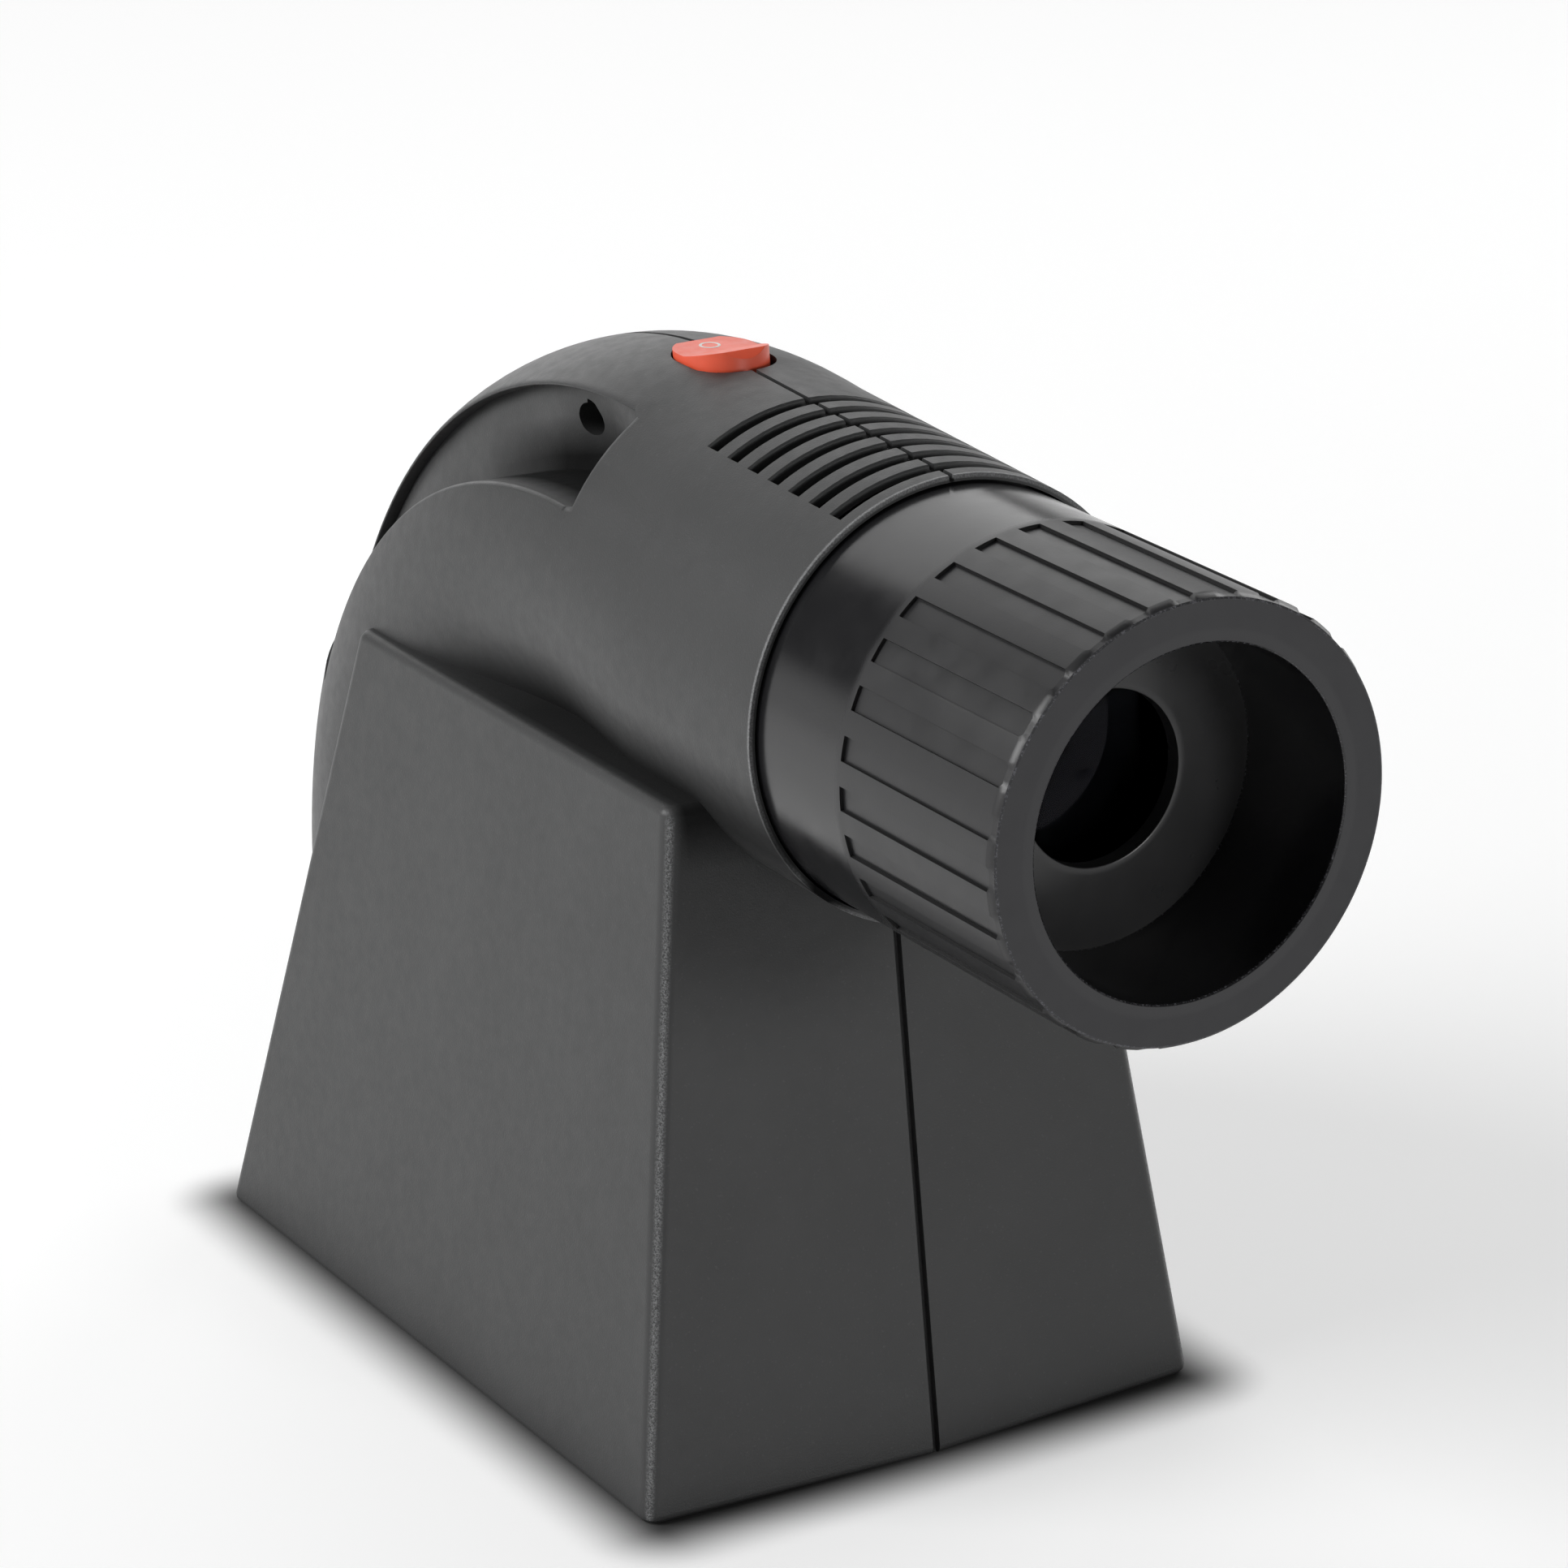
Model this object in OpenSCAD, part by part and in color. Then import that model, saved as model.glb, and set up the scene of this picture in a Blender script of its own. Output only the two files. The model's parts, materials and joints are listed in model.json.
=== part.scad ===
// Opaque projector: a tapered light box that stands over the picture, a round-backed
// head with a slanted mirror, and a fluted focusing barrel at the front.
// +Z is up, the lens looks along -Y, the seam of the two moulded halves lies in X = 0,
// and the origin is on the table under the middle of the object. Millimetres.

/* [Base] */
// Width of the base at the table
base_w = 139.7; // [136:0.1:146]
// Length of the base at the table, from the front seam to the rear wall
base_l = 203.3; // [198:0.1:208]
// Height of the side panels
base_h = 150.5; // [147:0.5:153]
// Lean of each side panel from the vertical, degrees
side_lean = 7.52; // [7:0.02:8]
// Lean of the front wall, degrees
front_lean = 7.86; // [7.4:0.02:8.4]
// Lean of the rear wall, degrees
rear_lean = 14.47; // [13.5:0.02:15.5]
// How far the front corners stand back from the front seam
front_draft = 4.1; // [3:0.1:5]
// Radius of the upright edges
edge_r = 3.5; // [2.8:0.1:4.5]
// Wall thickness of the moulded halves
wall = 2.6; // [2.3:0.05:2.9]

/* [Head] */
// Height of the lens axis above the table
axis_h = 173.4; // [171:0.1:176]
// How far the collar stands out round the barrel
collar_lip = 1.9; // [1.7:0.1:2.6]
// How much smaller the radius of the round back is than the collar's
head_inset = 1.1; // [0.6:0.1:1.6]
// How far the crown of the round back stands above the collar
crown_rise = 4.5; // [3:0.1:6]
// Radius of the bend's centre line over the round back
bend_r = 100; // [97:0.1:103]
// Distance from the collar's face back to the start of the bend
collar_to_bend = 91.75; // [88:0.05:95]
// How far the collar's face stands ahead of the base at the table
collar_overhang = 4.7; // [3:0.1:7]

/* [Finger grips] */
// Distance from the bend's centre line out to the grip hollow
grip_start = 21.3; // [19.5:0.1:23]
// Width of the round back's rim outside the grip hollow
grip_rim = 7.6; // [6.5:0.1:9]
// How far the hollow's floor lies inside the head's side, at its inner edge
grip_deep_in = 18; // [16:0.1:19.5]
// How far the hollow's floor lies inside the head's side, at its outer edge
grip_deep_out = 25.5; // [24.5:0.1:26.5]
// Angle over which the hollow runs back from its front end, degrees
grip_sweep = 70; // [62:1:76]
// Radius of the strap hole through the hollow's floor
strap_r = 3.7; // [3:0.1:4.2]

/* [Vents] */
// Number of slots over the head
vent_count = 7; // [5:1:7]
// Width of one slot
vent_w = 3.2; // [2.6:0.1:3.6]
// Distance from slot to slot
vent_pitch = 8; // [7.4:0.1:8.2]
// Length of a slot measured across the head
vent_span = 48; // [40:0.5:52]
// Distance from the collar's face to the middle of the first slot
vent_start = 5.7; // [5.2:0.1:7]

/* [Focusing barrel] */
// Outer radius of the barrel
barrel_r = 46.2; // [46:0.05:46.4]
// Length of the barrel in front of the collar
barrel_out = 85.1; // [80:0.1:90]
// Length of the barrel inside the head
barrel_in = 32; // [30:0.5:33]
// Width of the barrel's front face round the open bore
rim_w = 9.8; // [9:0.1:10.6]
// Depth of the open bore down to the aperture stop
bore_depth = 32; // [30:0.5:34]
// Radius of the hole in the aperture stop
stop_r = 18.4; // [16:0.1:22]
// Number of grip grooves round the barrel
groove_count = 28; // [24:1:32]
// Length of the grip grooves, back from the front face
groove_l = 53.9; // [48:0.1:58]
// Depth of the grip grooves
groove_deep = 0.9; // [0.6:0.05:1.1]
// Wall of the barrel over the guide sleeve
barrel_wall = 3.8; // [3.5:0.05:4]

/* [Focus drive] */
// Travel of the barrel into the head
travel_in = 21; // [18:0.5:21]
// Travel of the barrel out of the head
travel_out = 18; // [14:0.5:18]
// Advance of the barrel for one whole turn
focus_lead = 150; // [140:1:160]
// Radius of the follower pins
follower_r = 2; // [1.8:0.05:2.2]
// Clearance of the followers and keys in their slots
slot_gap = 0.3; // [0.2:0.05:0.4]
// Radial running clearance of the sliding tubes
run_gap = 0.06; // [0.03:0.01:0.09]
// Wall of the guide sleeve
sleeve_wall = 2.8; // [2.5:0.05:3]
// Width of the guide keys of the lens cell
key_w = 6; // [5:0.1:7]

/* [Lens and mirror] */
// Wall of the lens cell round the glass
cell_wall = 3.48; // [3:0.02:4.4]
// Thickness of the lens at its middle
lens_t = 15; // [13:0.5:17]
// Thickness of the lens at its rim
lens_edge = 4; // [3:0.1:5]
// Thickness of the mirror glass
mirror_t = 3; // [2.5:0.1:3.5]
// Distance from the head's side in to the edge of the mirror
mirror_inset = 9; // [8:0.5:11]

/* [Light box] */
// Width of the floor on each side of the window over the picture
side_margin = 6.35; // [6:0.05:9]
// Length of the floor in front of the window and behind it, taken together
end_margin = 76.3; // [74:0.1:84]
// Thickness of the window glass
glass_t = 3; // [2.5:0.1:3.5]
// Thickness of the floor frame
frame_t = 3; // [2.8:0.1:3.4]
// Tilt of the lamp boards from the vertical, degrees
lamp_tilt = 35; // [30:1:38]

/* [Switch] */
// Length of the rocker's opening
rocker_l = 25.2; // [24.6:0.1:25.8]
// Width of the rocker's opening
rocker_w = 20; // [19.4:0.1:20.6]
// Angle of the rocker to each side, degrees
rocker_tilt = 7; // [6:0.5:7.5]
// Height of the rocker's raised end over the crown
rocker_rise = 2.6; // [2.2:0.1:3]

/* [Fasteners] */
// Radius of the self-tapping screws' shanks
screw_r = 1.5; // [1.4:0.05:1.6]
// Radius of the screw heads
screw_head_r = 2.9; // [2.7:0.1:3.1]
// Outer radius of the screw bosses
boss_r = 4.2; // [4:0.1:4.5]

/* [Hidden] */
$fn = 96;

far = 600;
eps = 0.01;

// Radii that follow the barrel
collar_r = barrel_r + collar_lip;
head_r = collar_r - head_inset;
bore_r = barrel_r - rim_w;
outer_r = bend_r + head_r;
mirror_half = head_r - mirror_inset;

// Places along Y, worked out from the collar's face
crown_h = axis_h + collar_r + crown_rise;
total_l = barrel_out + collar_to_bend + bend_r + head_r;
collar_y = barrel_out - total_l / 2;
front_y = collar_y + collar_overhang;
rear_y = front_y + base_l;
bend_y = collar_y + collar_to_bend;
bend_z = crown_h - bend_r - head_r;
foot_angle = asin(bend_z / outer_r) + 5.5;
grip_in_r = bend_r + grip_start;
grip_out_r = outer_r - grip_rim;
grip_floor_in = head_r - grip_deep_in;
grip_floor_out = head_r - grip_deep_out;
strap_angle = 80.5;

// Fits
sleeve_out_r = barrel_r - barrel_wall - run_gap;
sleeve_in_r = sleeve_out_r - sleeve_wall;
cell_r = sleeve_in_r - run_gap;
lens_r = cell_r - cell_wall;
barrel_in_r = barrel_r - barrel_wall;
well_gap = 0.5;
well_r = barrel_r + well_gap;
// The head's upper line is the tangent from the collar to the bend
head_drop = axis_h - bend_z;
head_reach = norm([collar_to_bend, head_drop]);
head_slope_l = sqrt(head_reach * head_reach - bend_r * bend_r);
head_tilt = atan2(collar_to_bend, head_drop) - acos(bend_r / head_reach);

// Lens frame distances, ahead of the collar's face
end_gap = 2;
front_rib_t = 1.4;
flange_t = 2;
flange_s = -(barrel_in + travel_in + end_gap);
flange_r = sleeve_out_r + 3.16;
rib_ring_r = collar_r + 3.9;
rib_t = 1.8;
stop_s = barrel_out - bore_depth;
stop_t = 2.5;
ring_t = 2.8;
flange_cell_t = 2.4;
play = 0.2;
cell_front_s = stop_s - stop_t - play;
ring_s = cell_front_s - flange_cell_t - play - ring_t;
sleeve_front_s = ring_s - travel_in - 1;
key_l = 8;
key_s = sleeve_front_s - travel_out - key_l - 0.2;
cell_rear_s = key_s - 1;
follower_s = -barrel_in + 6;
helix_deg = 360 / focus_lead;
bore_wall = 2.2;

// Mirror: tilted 45 degrees, its middle on the lens axis
mirror_y = bend_y + 31;
mirror_up = 25;
mirror_down = 59;
plate_t = 2.5;
rail_top = -6;

// Light box
floor_z = 1;
glass_lip = 5;
window_w = base_w - 2 * side_margin;
window_l = base_l - end_margin;
window_y = (front_y + rear_y) / 2 + 2;
lug_x = base_w / 2 - 9.85;
lug_w = 12;
lug_z = floor_z + frame_t;

// Rocker
rocker_y = bend_y - 2.2;
pivot_z = crown_h - 9.5;
pivot_r = 1.2;
switch_top = crown_h - 7;
switch_deep = 16;

// Height that the vent slots are cut down to, just under the wall at their ends
vent_z = axis_h + sqrt(pow(collar_r - wall, 2) - pow(vent_span / 2, 2)) - 0.6;

// Shell screws: [y, z] of each boss
chin_z = axis_h - well_r - boss_r - 5;
front_in_y = front_y + wall + front_draft;
rear_in_y = rear_y - wall;
SCREW_SITES = [
    [front_in_y + 14 * tan(front_lean) + boss_r + 0.6, 14],
    [rear_in_y - 14 * tan(rear_lean) - boss_r - 0.6, 14],
    [front_in_y + chin_z * tan(front_lean) + boss_r + 0.4, chin_z],
    [bend_y + (outer_r - 16) * sin(112), bend_z + (outer_r - 16) * cos(112)],
    [bend_y + (outer_r - 11) * sin(78), bend_z + (outer_r - 11) * cos(78)],
    [bend_y - 23.5, crown_h - wall - boss_r - 3]];
screw_deep = 12;
head_seat_x = 8;

// ---------------------------------------------------------------- frames and helpers

// Puts children in the lens frame: Z runs forward from the collar's face
module lens_frame() {
    translate([0, collar_y, axis_h]) rotate([90, 0, 0]) children();
}

// A ring between two distances of the lens frame
module ring(r_out, r_in, from, to) {
    translate([0, 0, from]) difference() {
        cylinder(r = r_out, h = to - from);
        translate([0, 0, -1]) cylinder(r = r_in, h = to - from + 2);
    }
}

// Puts children in the bend's frame: Z along X, with the bend's circle in its XY plane
module bend_frame() {
    translate([0, bend_y, bend_z]) rotate([90, 0, 90]) children();
}

// Puts children on the mirror: Z is the mirror's back, Y runs down its slope
module mirror_frame() {
    translate([0, mirror_y, axis_h]) rotate([-45, 0, 0]) children();
}

// ---------------------------------------------------------------- outline of the body

// The tapered base, drawn in by t on every side
module base_form(t, bottom, top) {
    r = max(edge_r - t, 0.8);
    hull() for (z = [bottom, top]) {
        half = base_w / 2 - z * tan(side_lean) - t - r;
        y_front = front_y + z * tan(front_lean) + t;
        y_rear = rear_y - z * tan(rear_lean) - t - r;
        for (side = [-1, 1]) {
            translate([side * half, y_front + front_draft + r, z]) cylinder(r = r, h = eps, $fn = 32);
            translate([side * half, y_rear, z]) cylinder(r = r, h = eps, $fn = 32);
        }
        translate([0, y_front + 0.5, z]) cube([1, 1, eps], center = true);
    }
}

// The head between the collar and the bend, drawn in by t: level round the barrel, rising
// along its top to the bend
module head_form(t) {
    end_step = 0.15;
    hull() {
        lens_frame() translate([0, 0, flange_s]) cylinder(r = collar_r - t, h = -flange_s, $fn = 96);
        translate([0, collar_y, axis_h]) rotate([head_tilt - 90, 0, 0])
            translate([0, 0, head_slope_l - 1]) cylinder(r = head_r - t - end_step, h = 1, $fn = 96);
    }
}

// The round back: a bent tube whose outline closes on the foot of the rear wall
module bend_form(t) {
    bend_frame() rotate([0, 0, -foot_angle]) rotate_extrude(angle = foot_angle + 90 + head_tilt)
        translate([bend_r, 0]) circle(r = head_r - t);
}

module body_form(t, bottom) {
    base_form(t, bottom, base_h - t);
    head_form(t);
    bend_form(t);
}

// The hollow of a finger grip, on the side where s is 1 or -1, grown by t
module grip_cut(s, t) {
    front_angle = 94;
    bend_frame() rotate([0, 0, front_angle - grip_sweep - t / 2])
        rotate_extrude(angle = grip_sweep + t)
            polygon([[grip_in_r - t, s * far / 4], [grip_in_r - t, s * (grip_floor_in - t)],
                [grip_out_r + t, s * (grip_floor_out - t)], [grip_out_r + t, s * far / 4]]);
}

// ---------------------------------------------------------------- moulded halves

// Material that stays inside the body: bosses, ribs and lugs of both halves
module inner_ribs() {
    for (site = SCREW_SITES)
        translate([-far / 4, site[0], site[1]]) rotate([0, 90, 0]) cylinder(r = boss_r, h = far / 2);
    // Two rings that hold the flange of the guide sleeve
    lens_frame() {
        ring(rib_ring_r, flange_r - 2, flange_s - rib_t - flange_t, flange_s + front_rib_t);
    }
    // Rails above and below the edges of the mirror plate
    for (s = [-1, 1]) mirror_frame() {
        translate([s * (mirror_half + 10) - 10, rail_top, mirror_t + plate_t])
            cube([20, mirror_down - rail_top - 2, 2]);
        translate([s * (mirror_half + 12) - 10, rail_top, mirror_t - 2])
            cube([20, mirror_down - rail_top - 2, 2]);
    }
    // Seats at both ends of the switch
    for (s = [-1, 1]) translate([-9, rocker_y + s * (rocker_l / 2 + 5) - 1.5, switch_top - 12])
        cube([18, 3, far / 10]);
    // Lugs that the floor frame is screwed to
    for (sx = [-1, 1], y = LUG_YS)
        translate([sx * (lug_x + lug_w / 4) - lug_w / 2, y - lug_w / 2, lug_z]) cube([lug_w, lug_w, 8]);
    // Posts of the driver board
    for (x = BOARD_XS, z = BOARD_ZS)
        translate([x, board_y - eps, z]) rotate([90, 0, 0]) cylinder(r = 3.4, h = 30);
}

LUG_YS = [front_y + 26, rear_y - 24];
board_w = 64;
board_h = 40;
board_z = chin_z - board_h - 7.5;
board_corner = 6;
BOARD_XS = [-board_w / 2 + board_corner, board_w / 2 - board_corner];
BOARD_ZS = [board_z + board_corner, board_z + board_h - board_corner];
board_y = front_y + 24;

module cavity() {
    difference() {
        union() {
            base_form(wall, -5, base_h - wall);
            head_form(wall);
            bend_form(wall);
        }
        inner_ribs();
        grip_cut(1, wall);
        grip_cut(-1, wall);
    }
    // Groove that the flange of the guide sleeve sits in
    lens_frame() translate([0, 0, flange_s - flange_t]) cylinder(r = flange_r, h = flange_t);
    // Well that the barrel slides in
    lens_frame() translate([0, 0, flange_s + front_rib_t]) cylinder(r = well_r, h = far / 4);
}

module shared_cuts() {
    grip_cut(1, 0);
    grip_cut(-1, 0);
    // Vent slots across the seam
    for (i = [0 : vent_count - 1])
        translate([-vent_span / 2, collar_y + vent_start + i * vent_pitch - vent_w / 2, vent_z])
            cube([vent_span, vent_w, far / 4]);
    // Opening of the rocker
    translate([0, rocker_y, switch_top + 1]) oval(rocker_w, rocker_l, far / 8);
    // Round holes for a strap through the floors of the grips
    for (s = [-1, 1]) bend_frame() rotate([0, 0, strap_angle])
        translate([(grip_in_r + grip_out_r) / 2, 0, s * 25 - 12]) cylinder(r = strap_r, h = 24);
    // Pilot holes of the floor screws
    for (sx = [-1, 1], y = LUG_YS) translate([sx * lug_x, y, 0]) cylinder(r = screw_r, h = lug_z + 6);
    // Pilot holes of the board screws
    for (x = BOARD_XS, z = BOARD_ZS)
        translate([x, board_y + 1, z]) rotate([90, 0, 0]) cylinder(r = screw_r, h = 7);
}

// An upright oval column, longer along Y, made of two arcs and two flats
module oval(w, l, h) {
    translate([-w / 2, -(l - w) / 2, 0]) cube([w, l - w, h]);
    for (s = [-1, 1]) translate([0, s * (l - w) / 2, 0]) cylinder(r = w / 2, h = h);
}

module half_shell(s) {
    difference() {
        body_form(0, 0);
        translate([s > 0 ? -far : 0, -far / 2, -far / 2]) cube([far, far, far]);
        translate([-far / 2, -far / 2, -far]) cube([far, far, far]);
        cavity();
        shared_cuts();
        children();
    }
}

module left_shell() {
    color("#2b2c2e") half_shell(-1)
        for (site = SCREW_SITES) translate([-screw_deep - 2, site[0], site[1]])
            rotate([0, 90, 0]) cylinder(r = screw_r, h = screw_deep + 4);
}

module right_shell() {
    color("#2b2c2e") half_shell(1) {
        for (site = SCREW_SITES) translate([-2, site[0], site[1]]) rotate([0, 90, 0]) {
            cylinder(r = screw_r + 0.2, h = head_seat_x + 4);
            translate([0, 0, head_seat_x + 2]) cylinder(r = screw_head_r + 0.3, h = far / 4);
        }
        jack_site() cylinder(r = jack_r + 0.1, h = 20, center = true);
    }
}

module shell_screws() {
    color("#c8c8c6") for (site = SCREW_SITES) translate([0, site[0], site[1]]) rotate([0, 90, 0]) {
        translate([0, 0, -screw_deep + 2]) cylinder(r = screw_r, h = screw_deep + head_seat_x - 2);
        translate([0, 0, head_seat_x]) difference() {
            cylinder(r = screw_head_r, h = 2.2);
            translate([0, 0, 1]) cube([3.2, 0.8, 2.6], center = true);
            translate([0, 0, 1]) cube([0.8, 3.2, 2.6], center = true);
        }
    }
}

// ---------------------------------------------------------------- floor of the light box

floor_gap = 0.3;
clip_w = 10;
clip_t = 1;

module floor_frame() {
    color("#1d1e20") difference() {
        intersection() {
            union() {
                base_form(wall + floor_gap, 0, lug_z + 10);
                bend_form(wall + floor_gap);
            }
            translate([-far / 2, -far / 2, floor_z]) cube([far, far, frame_t]);
        }
        translate([-window_w / 2, window_y - window_l / 2, 0]) cube([window_w, window_l, 20]);
        for (sx = [-1, 1], y = LUG_YS) translate([sx * lug_x, y, 0]) {
            cylinder(r = screw_r + 0.2, h = 20);
            cylinder(r = screw_head_r + 0.2, h = floor_z + 1.3);
        }
        for (s = [-1, 1], x = BRACKET_XS) window_edge(s)
            translate([x, bracket_hole, -frame_t + 0.3]) cylinder(r = screw_r, h = frame_t);
    }
}

module floor_screws() {
    color("#c8c8c6") for (sx = [-1, 1], y = LUG_YS) translate([sx * lug_x, y, floor_z + 0.1]) {
        cylinder(r = screw_head_r, h = 1.2);
        cylinder(r = screw_r, h = 8);
    }
}

module window_glass() {
    side = window_w / 2 + 2;
    color([0.75, 0.85, 0.86, 0.4]) translate([-side, window_y - window_l / 2 - glass_lip, lug_z])
        cube([2 * side, window_l + 2 * glass_lip, glass_t]);
}

// Spring clips that hold the window glass down at its front and rear edges
module glass_clips() {
    edge = window_l / 2 + glass_lip;
    clip_x = window_w / 2 - 25.5;
    color("#b9bcc0") for (x = [-clip_x, clip_x], s = [-1, 1]) translate([x - clip_w / 2, window_y, lug_z])
        mirror([0, s < 0 ? 1 : 0, 0]) {
            translate([0, edge, 0]) cube([clip_w, 4, clip_t]);
            translate([0, edge, 0]) cube([clip_w, clip_t, glass_t + clip_t]);
            translate([0, edge - 3.5, glass_t]) cube([clip_w, 4, clip_t]);
        }
}

// ---------------------------------------------------------------- focusing mechanism

FOLLOWER_ANGLES = [90, 210, 330];
key_turn = 86;
helix_rise = atan(focus_lead / (2 * PI * sleeve_out_r));

// A block that points outwards at an angle of the lens frame
module spoke(angle, r_in, r_out, w, from, to) {
    rotate([0, 0, angle]) translate([r_in, -w / 2, from]) cube([r_out - r_in, w, to - from]);
}

// A round pin that points outwards at an angle of the lens frame
module peg(angle, r_in, r_out, r, s) {
    rotate([0, 0, angle]) translate([r_in, 0, s]) rotate([0, 90, 0]) cylinder(r = r, h = r_out - r_in);
}

// The helical slot that one follower runs in
module helix_slot(angle) {
    travel = travel_in + travel_out;
    start = angle - travel_in * helix_deg;
    r = follower_r + slot_gap;
    half_angle = asin(r / sin(helix_rise) / sleeve_out_r);
    r_a = sleeve_in_r - 1;
    r_b = sleeve_out_r + 1;
    translate([0, 0, follower_s - travel_in])
        linear_extrude(height = travel, twist = -travel * helix_deg, slices = 24, segments = 4)
            polygon([for (p = [[r_a, -1], [r_b, -1], [r_b, 1], [r_a, 1]])
                let (a = start + p[1] * half_angle) [p[0] * cos(a), p[0] * sin(a)]]);
    peg(start, r_a, r_b, r, follower_s - travel_in);
    peg(angle + travel_out * helix_deg, r_a, r_b, r, follower_s + travel_out);
}

module guide_sleeve() {
    color("#e4e2da") lens_frame() difference() {
        union() {
            ring(sleeve_out_r, sleeve_in_r, flange_s - flange_t, sleeve_front_s);
            ring(flange_r, sleeve_in_r, flange_s - flange_t, flange_s);
        }
        for (a = FOLLOWER_ANGLES) {
            helix_slot(a);
            spoke(a + key_turn, sleeve_in_r - 1, sleeve_out_r + 1, key_w + 2 * slot_gap,
                key_s - travel_in - slot_gap, sleeve_front_s + 1);
        }
    }
}

module focus_barrel() {
    face_t = 3;
    soften = 0.6;
    rib_taper = 1.4;
    pitch = 360 / groove_count;
    groove_w = PI * barrel_r / groove_count;
    first_groove = 92.7;
    color("#202124") lens_frame() difference() {
        rotate_extrude() polygon([
            [barrel_in_r, -barrel_in], [barrel_r - soften, -barrel_in],
            [barrel_r, -barrel_in + soften], [barrel_r, barrel_out - rib_taper],
            [barrel_r - groove_deep - 0.25, barrel_out], [bore_r + soften, barrel_out],
            [bore_r, barrel_out - soften], [bore_r, stop_s], [bore_r + bore_wall, stop_s],
            [bore_r + bore_wall, barrel_out - face_t], [barrel_in_r, barrel_out - face_t]]);
        for (i = [0 : groove_count - 1])
            spoke(first_groove + i * pitch, barrel_r - groove_deep, barrel_r + 3, groove_w,
                barrel_out - groove_l, barrel_out + 1);
        for (a = FOLLOWER_ANGLES) peg(a, barrel_in_r - 1, barrel_r + 1, follower_r, follower_s);
    }
}

module follower_pins() {
    color("#c2a25a") lens_frame()
        for (a = FOLLOWER_ANGLES) peg(a, sleeve_in_r + 0.5, barrel_r - 0.3, follower_r, follower_s);
}

module aperture_stop() {
    cone_rise = 1.2;
    color("#141416") lens_frame() rotate_extrude() polygon([
        [stop_r, stop_s - stop_t], [barrel_in_r, stop_s - stop_t], [barrel_in_r, stop_s],
        [bore_r - 0.5, stop_s], [stop_r + 1, stop_s + cone_rise], [stop_r, stop_s + cone_rise]]);
}

// Ring pressed into the barrel that carries the flange of the lens cell along
module coupling_ring() {
    color("#2c2d30") lens_frame() ring(barrel_in_r, cell_r + slot_gap, ring_s, ring_s + ring_t);
}

lens_mid_s = cell_front_s - 10;
lip_t = 2.4;
retainer_t = 2.6;

// Radius of both faces of the lens, and half its thickness at a distance from its axis
lens_bulge = (lens_t - lens_edge) / 2;
lens_ball_r = (lens_r * lens_r + lens_bulge * lens_bulge) / (2 * lens_bulge);
lip_inset = 2.5;
retainer_w = 3;
function lens_half(r) = lens_t / 2 - lens_ball_r + sqrt(lens_ball_r * lens_ball_r - r * r);

module lens_cell() {
    lip_s = lens_mid_s + lens_half(lens_r - lip_inset);
    color("#2c2d30") lens_frame() {
        ring(cell_r, lens_r, cell_rear_s, cell_front_s);
        ring(barrel_in_r - slot_gap, lens_r, cell_front_s - flange_cell_t, cell_front_s);
        ring(cell_r - 1, lens_r - lip_inset, lip_s, lip_s + lip_t);
        for (a = FOLLOWER_ANGLES)
            spoke(a + key_turn, cell_r - 1, sleeve_out_r - slot_gap, key_w, key_s, key_s + key_l);
    }
}

module front_lens() {
    color([0.7, 0.8, 0.95, 0.4]) lens_frame() translate([0, 0, lens_mid_s]) intersection() {
        translate([0, 0, -lens_t / 2]) cylinder(r = lens_r, h = lens_t);
        translate([0, 0, lens_t / 2 - lens_ball_r]) sphere(r = lens_ball_r);
        translate([0, 0, lens_ball_r - lens_t / 2]) sphere(r = lens_ball_r);
    }
}

module lens_retainer() {
    rim = lens_mid_s - lens_half(lens_r - retainer_w);
    color("#2c2d30") lens_frame() difference() {
        ring(lens_r, lens_r - retainer_w, rim - retainer_t, rim);
        for (a = [0, 180])
            spoke(a, lens_r - retainer_w - 1, lens_r - 1.2, 3, rim - retainer_t - 1, rim - 1.4);
    }
}

// ---------------------------------------------------------------- mirror

// Outline on the mirror's slope with its upper corners cut back under the roof
module slope_outline(half, top_half, up, down) {
    polygon([[-top_half, -up], [top_half, -up], [half, -up + 20], [half, down],
        [-half, down], [-half, -up + 20]]);
}

module front_mirror() {
    color("#cfd6dc") mirror_frame() linear_extrude(mirror_t)
        slope_outline(mirror_half, mirror_half - 6, mirror_up, mirror_down);
}

module mirror_plate() {
    color("#3a3b3e") mirror_frame() translate([0, 0, mirror_t]) linear_extrude(plate_t)
        slope_outline(mirror_half + 4, mirror_half - 4, mirror_up + 1.5, mirror_down + 1.5);
}

// Clips that hook over both long edges of the mirror from its plate
module mirror_clips() {
    color("#b9bcc0") for (y = [-mirror_up, mirror_down], x = [-18, 18]) mirror_frame() {
        out = y > 0 ? 1 : -1;
        translate([x - 4, y > 0 ? y + 1.5 : y - 2.5, -1]) cube([8, 1, mirror_t + plate_t + 2]);
        translate([x - 4, out > 0 ? y - 3 : y - 2.5, -1]) cube([8, 5.5, 1]);
        translate([x - 4, out > 0 ? y - 3 : y - 2.5, mirror_t + plate_t]) cube([8, 5.5, 1]);
    }
}

// ---------------------------------------------------------------- lamps

sheet_t = 1.2;
lamp_w = window_w - 35;
lamp_l = 36;
riser_h = 18;
riser_out = 19;
sink_l = 30;
fin_count = 17;
bracket_foot = 10;
bracket_hole = 14;
BRACKET_XS = [10 - lamp_w / 2, lamp_w / 2 - 10];
chip_w = 5;
chip_count = 6;

// Puts children at the front (-1) or rear (1) edge of the window, Y pointing away from it
module window_edge(s) {
    translate([0, window_y, lug_z]) mirror([0, s < 0 ? 1 : 0, 0]) translate([0, window_l / 2, 0]) children();
}

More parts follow.
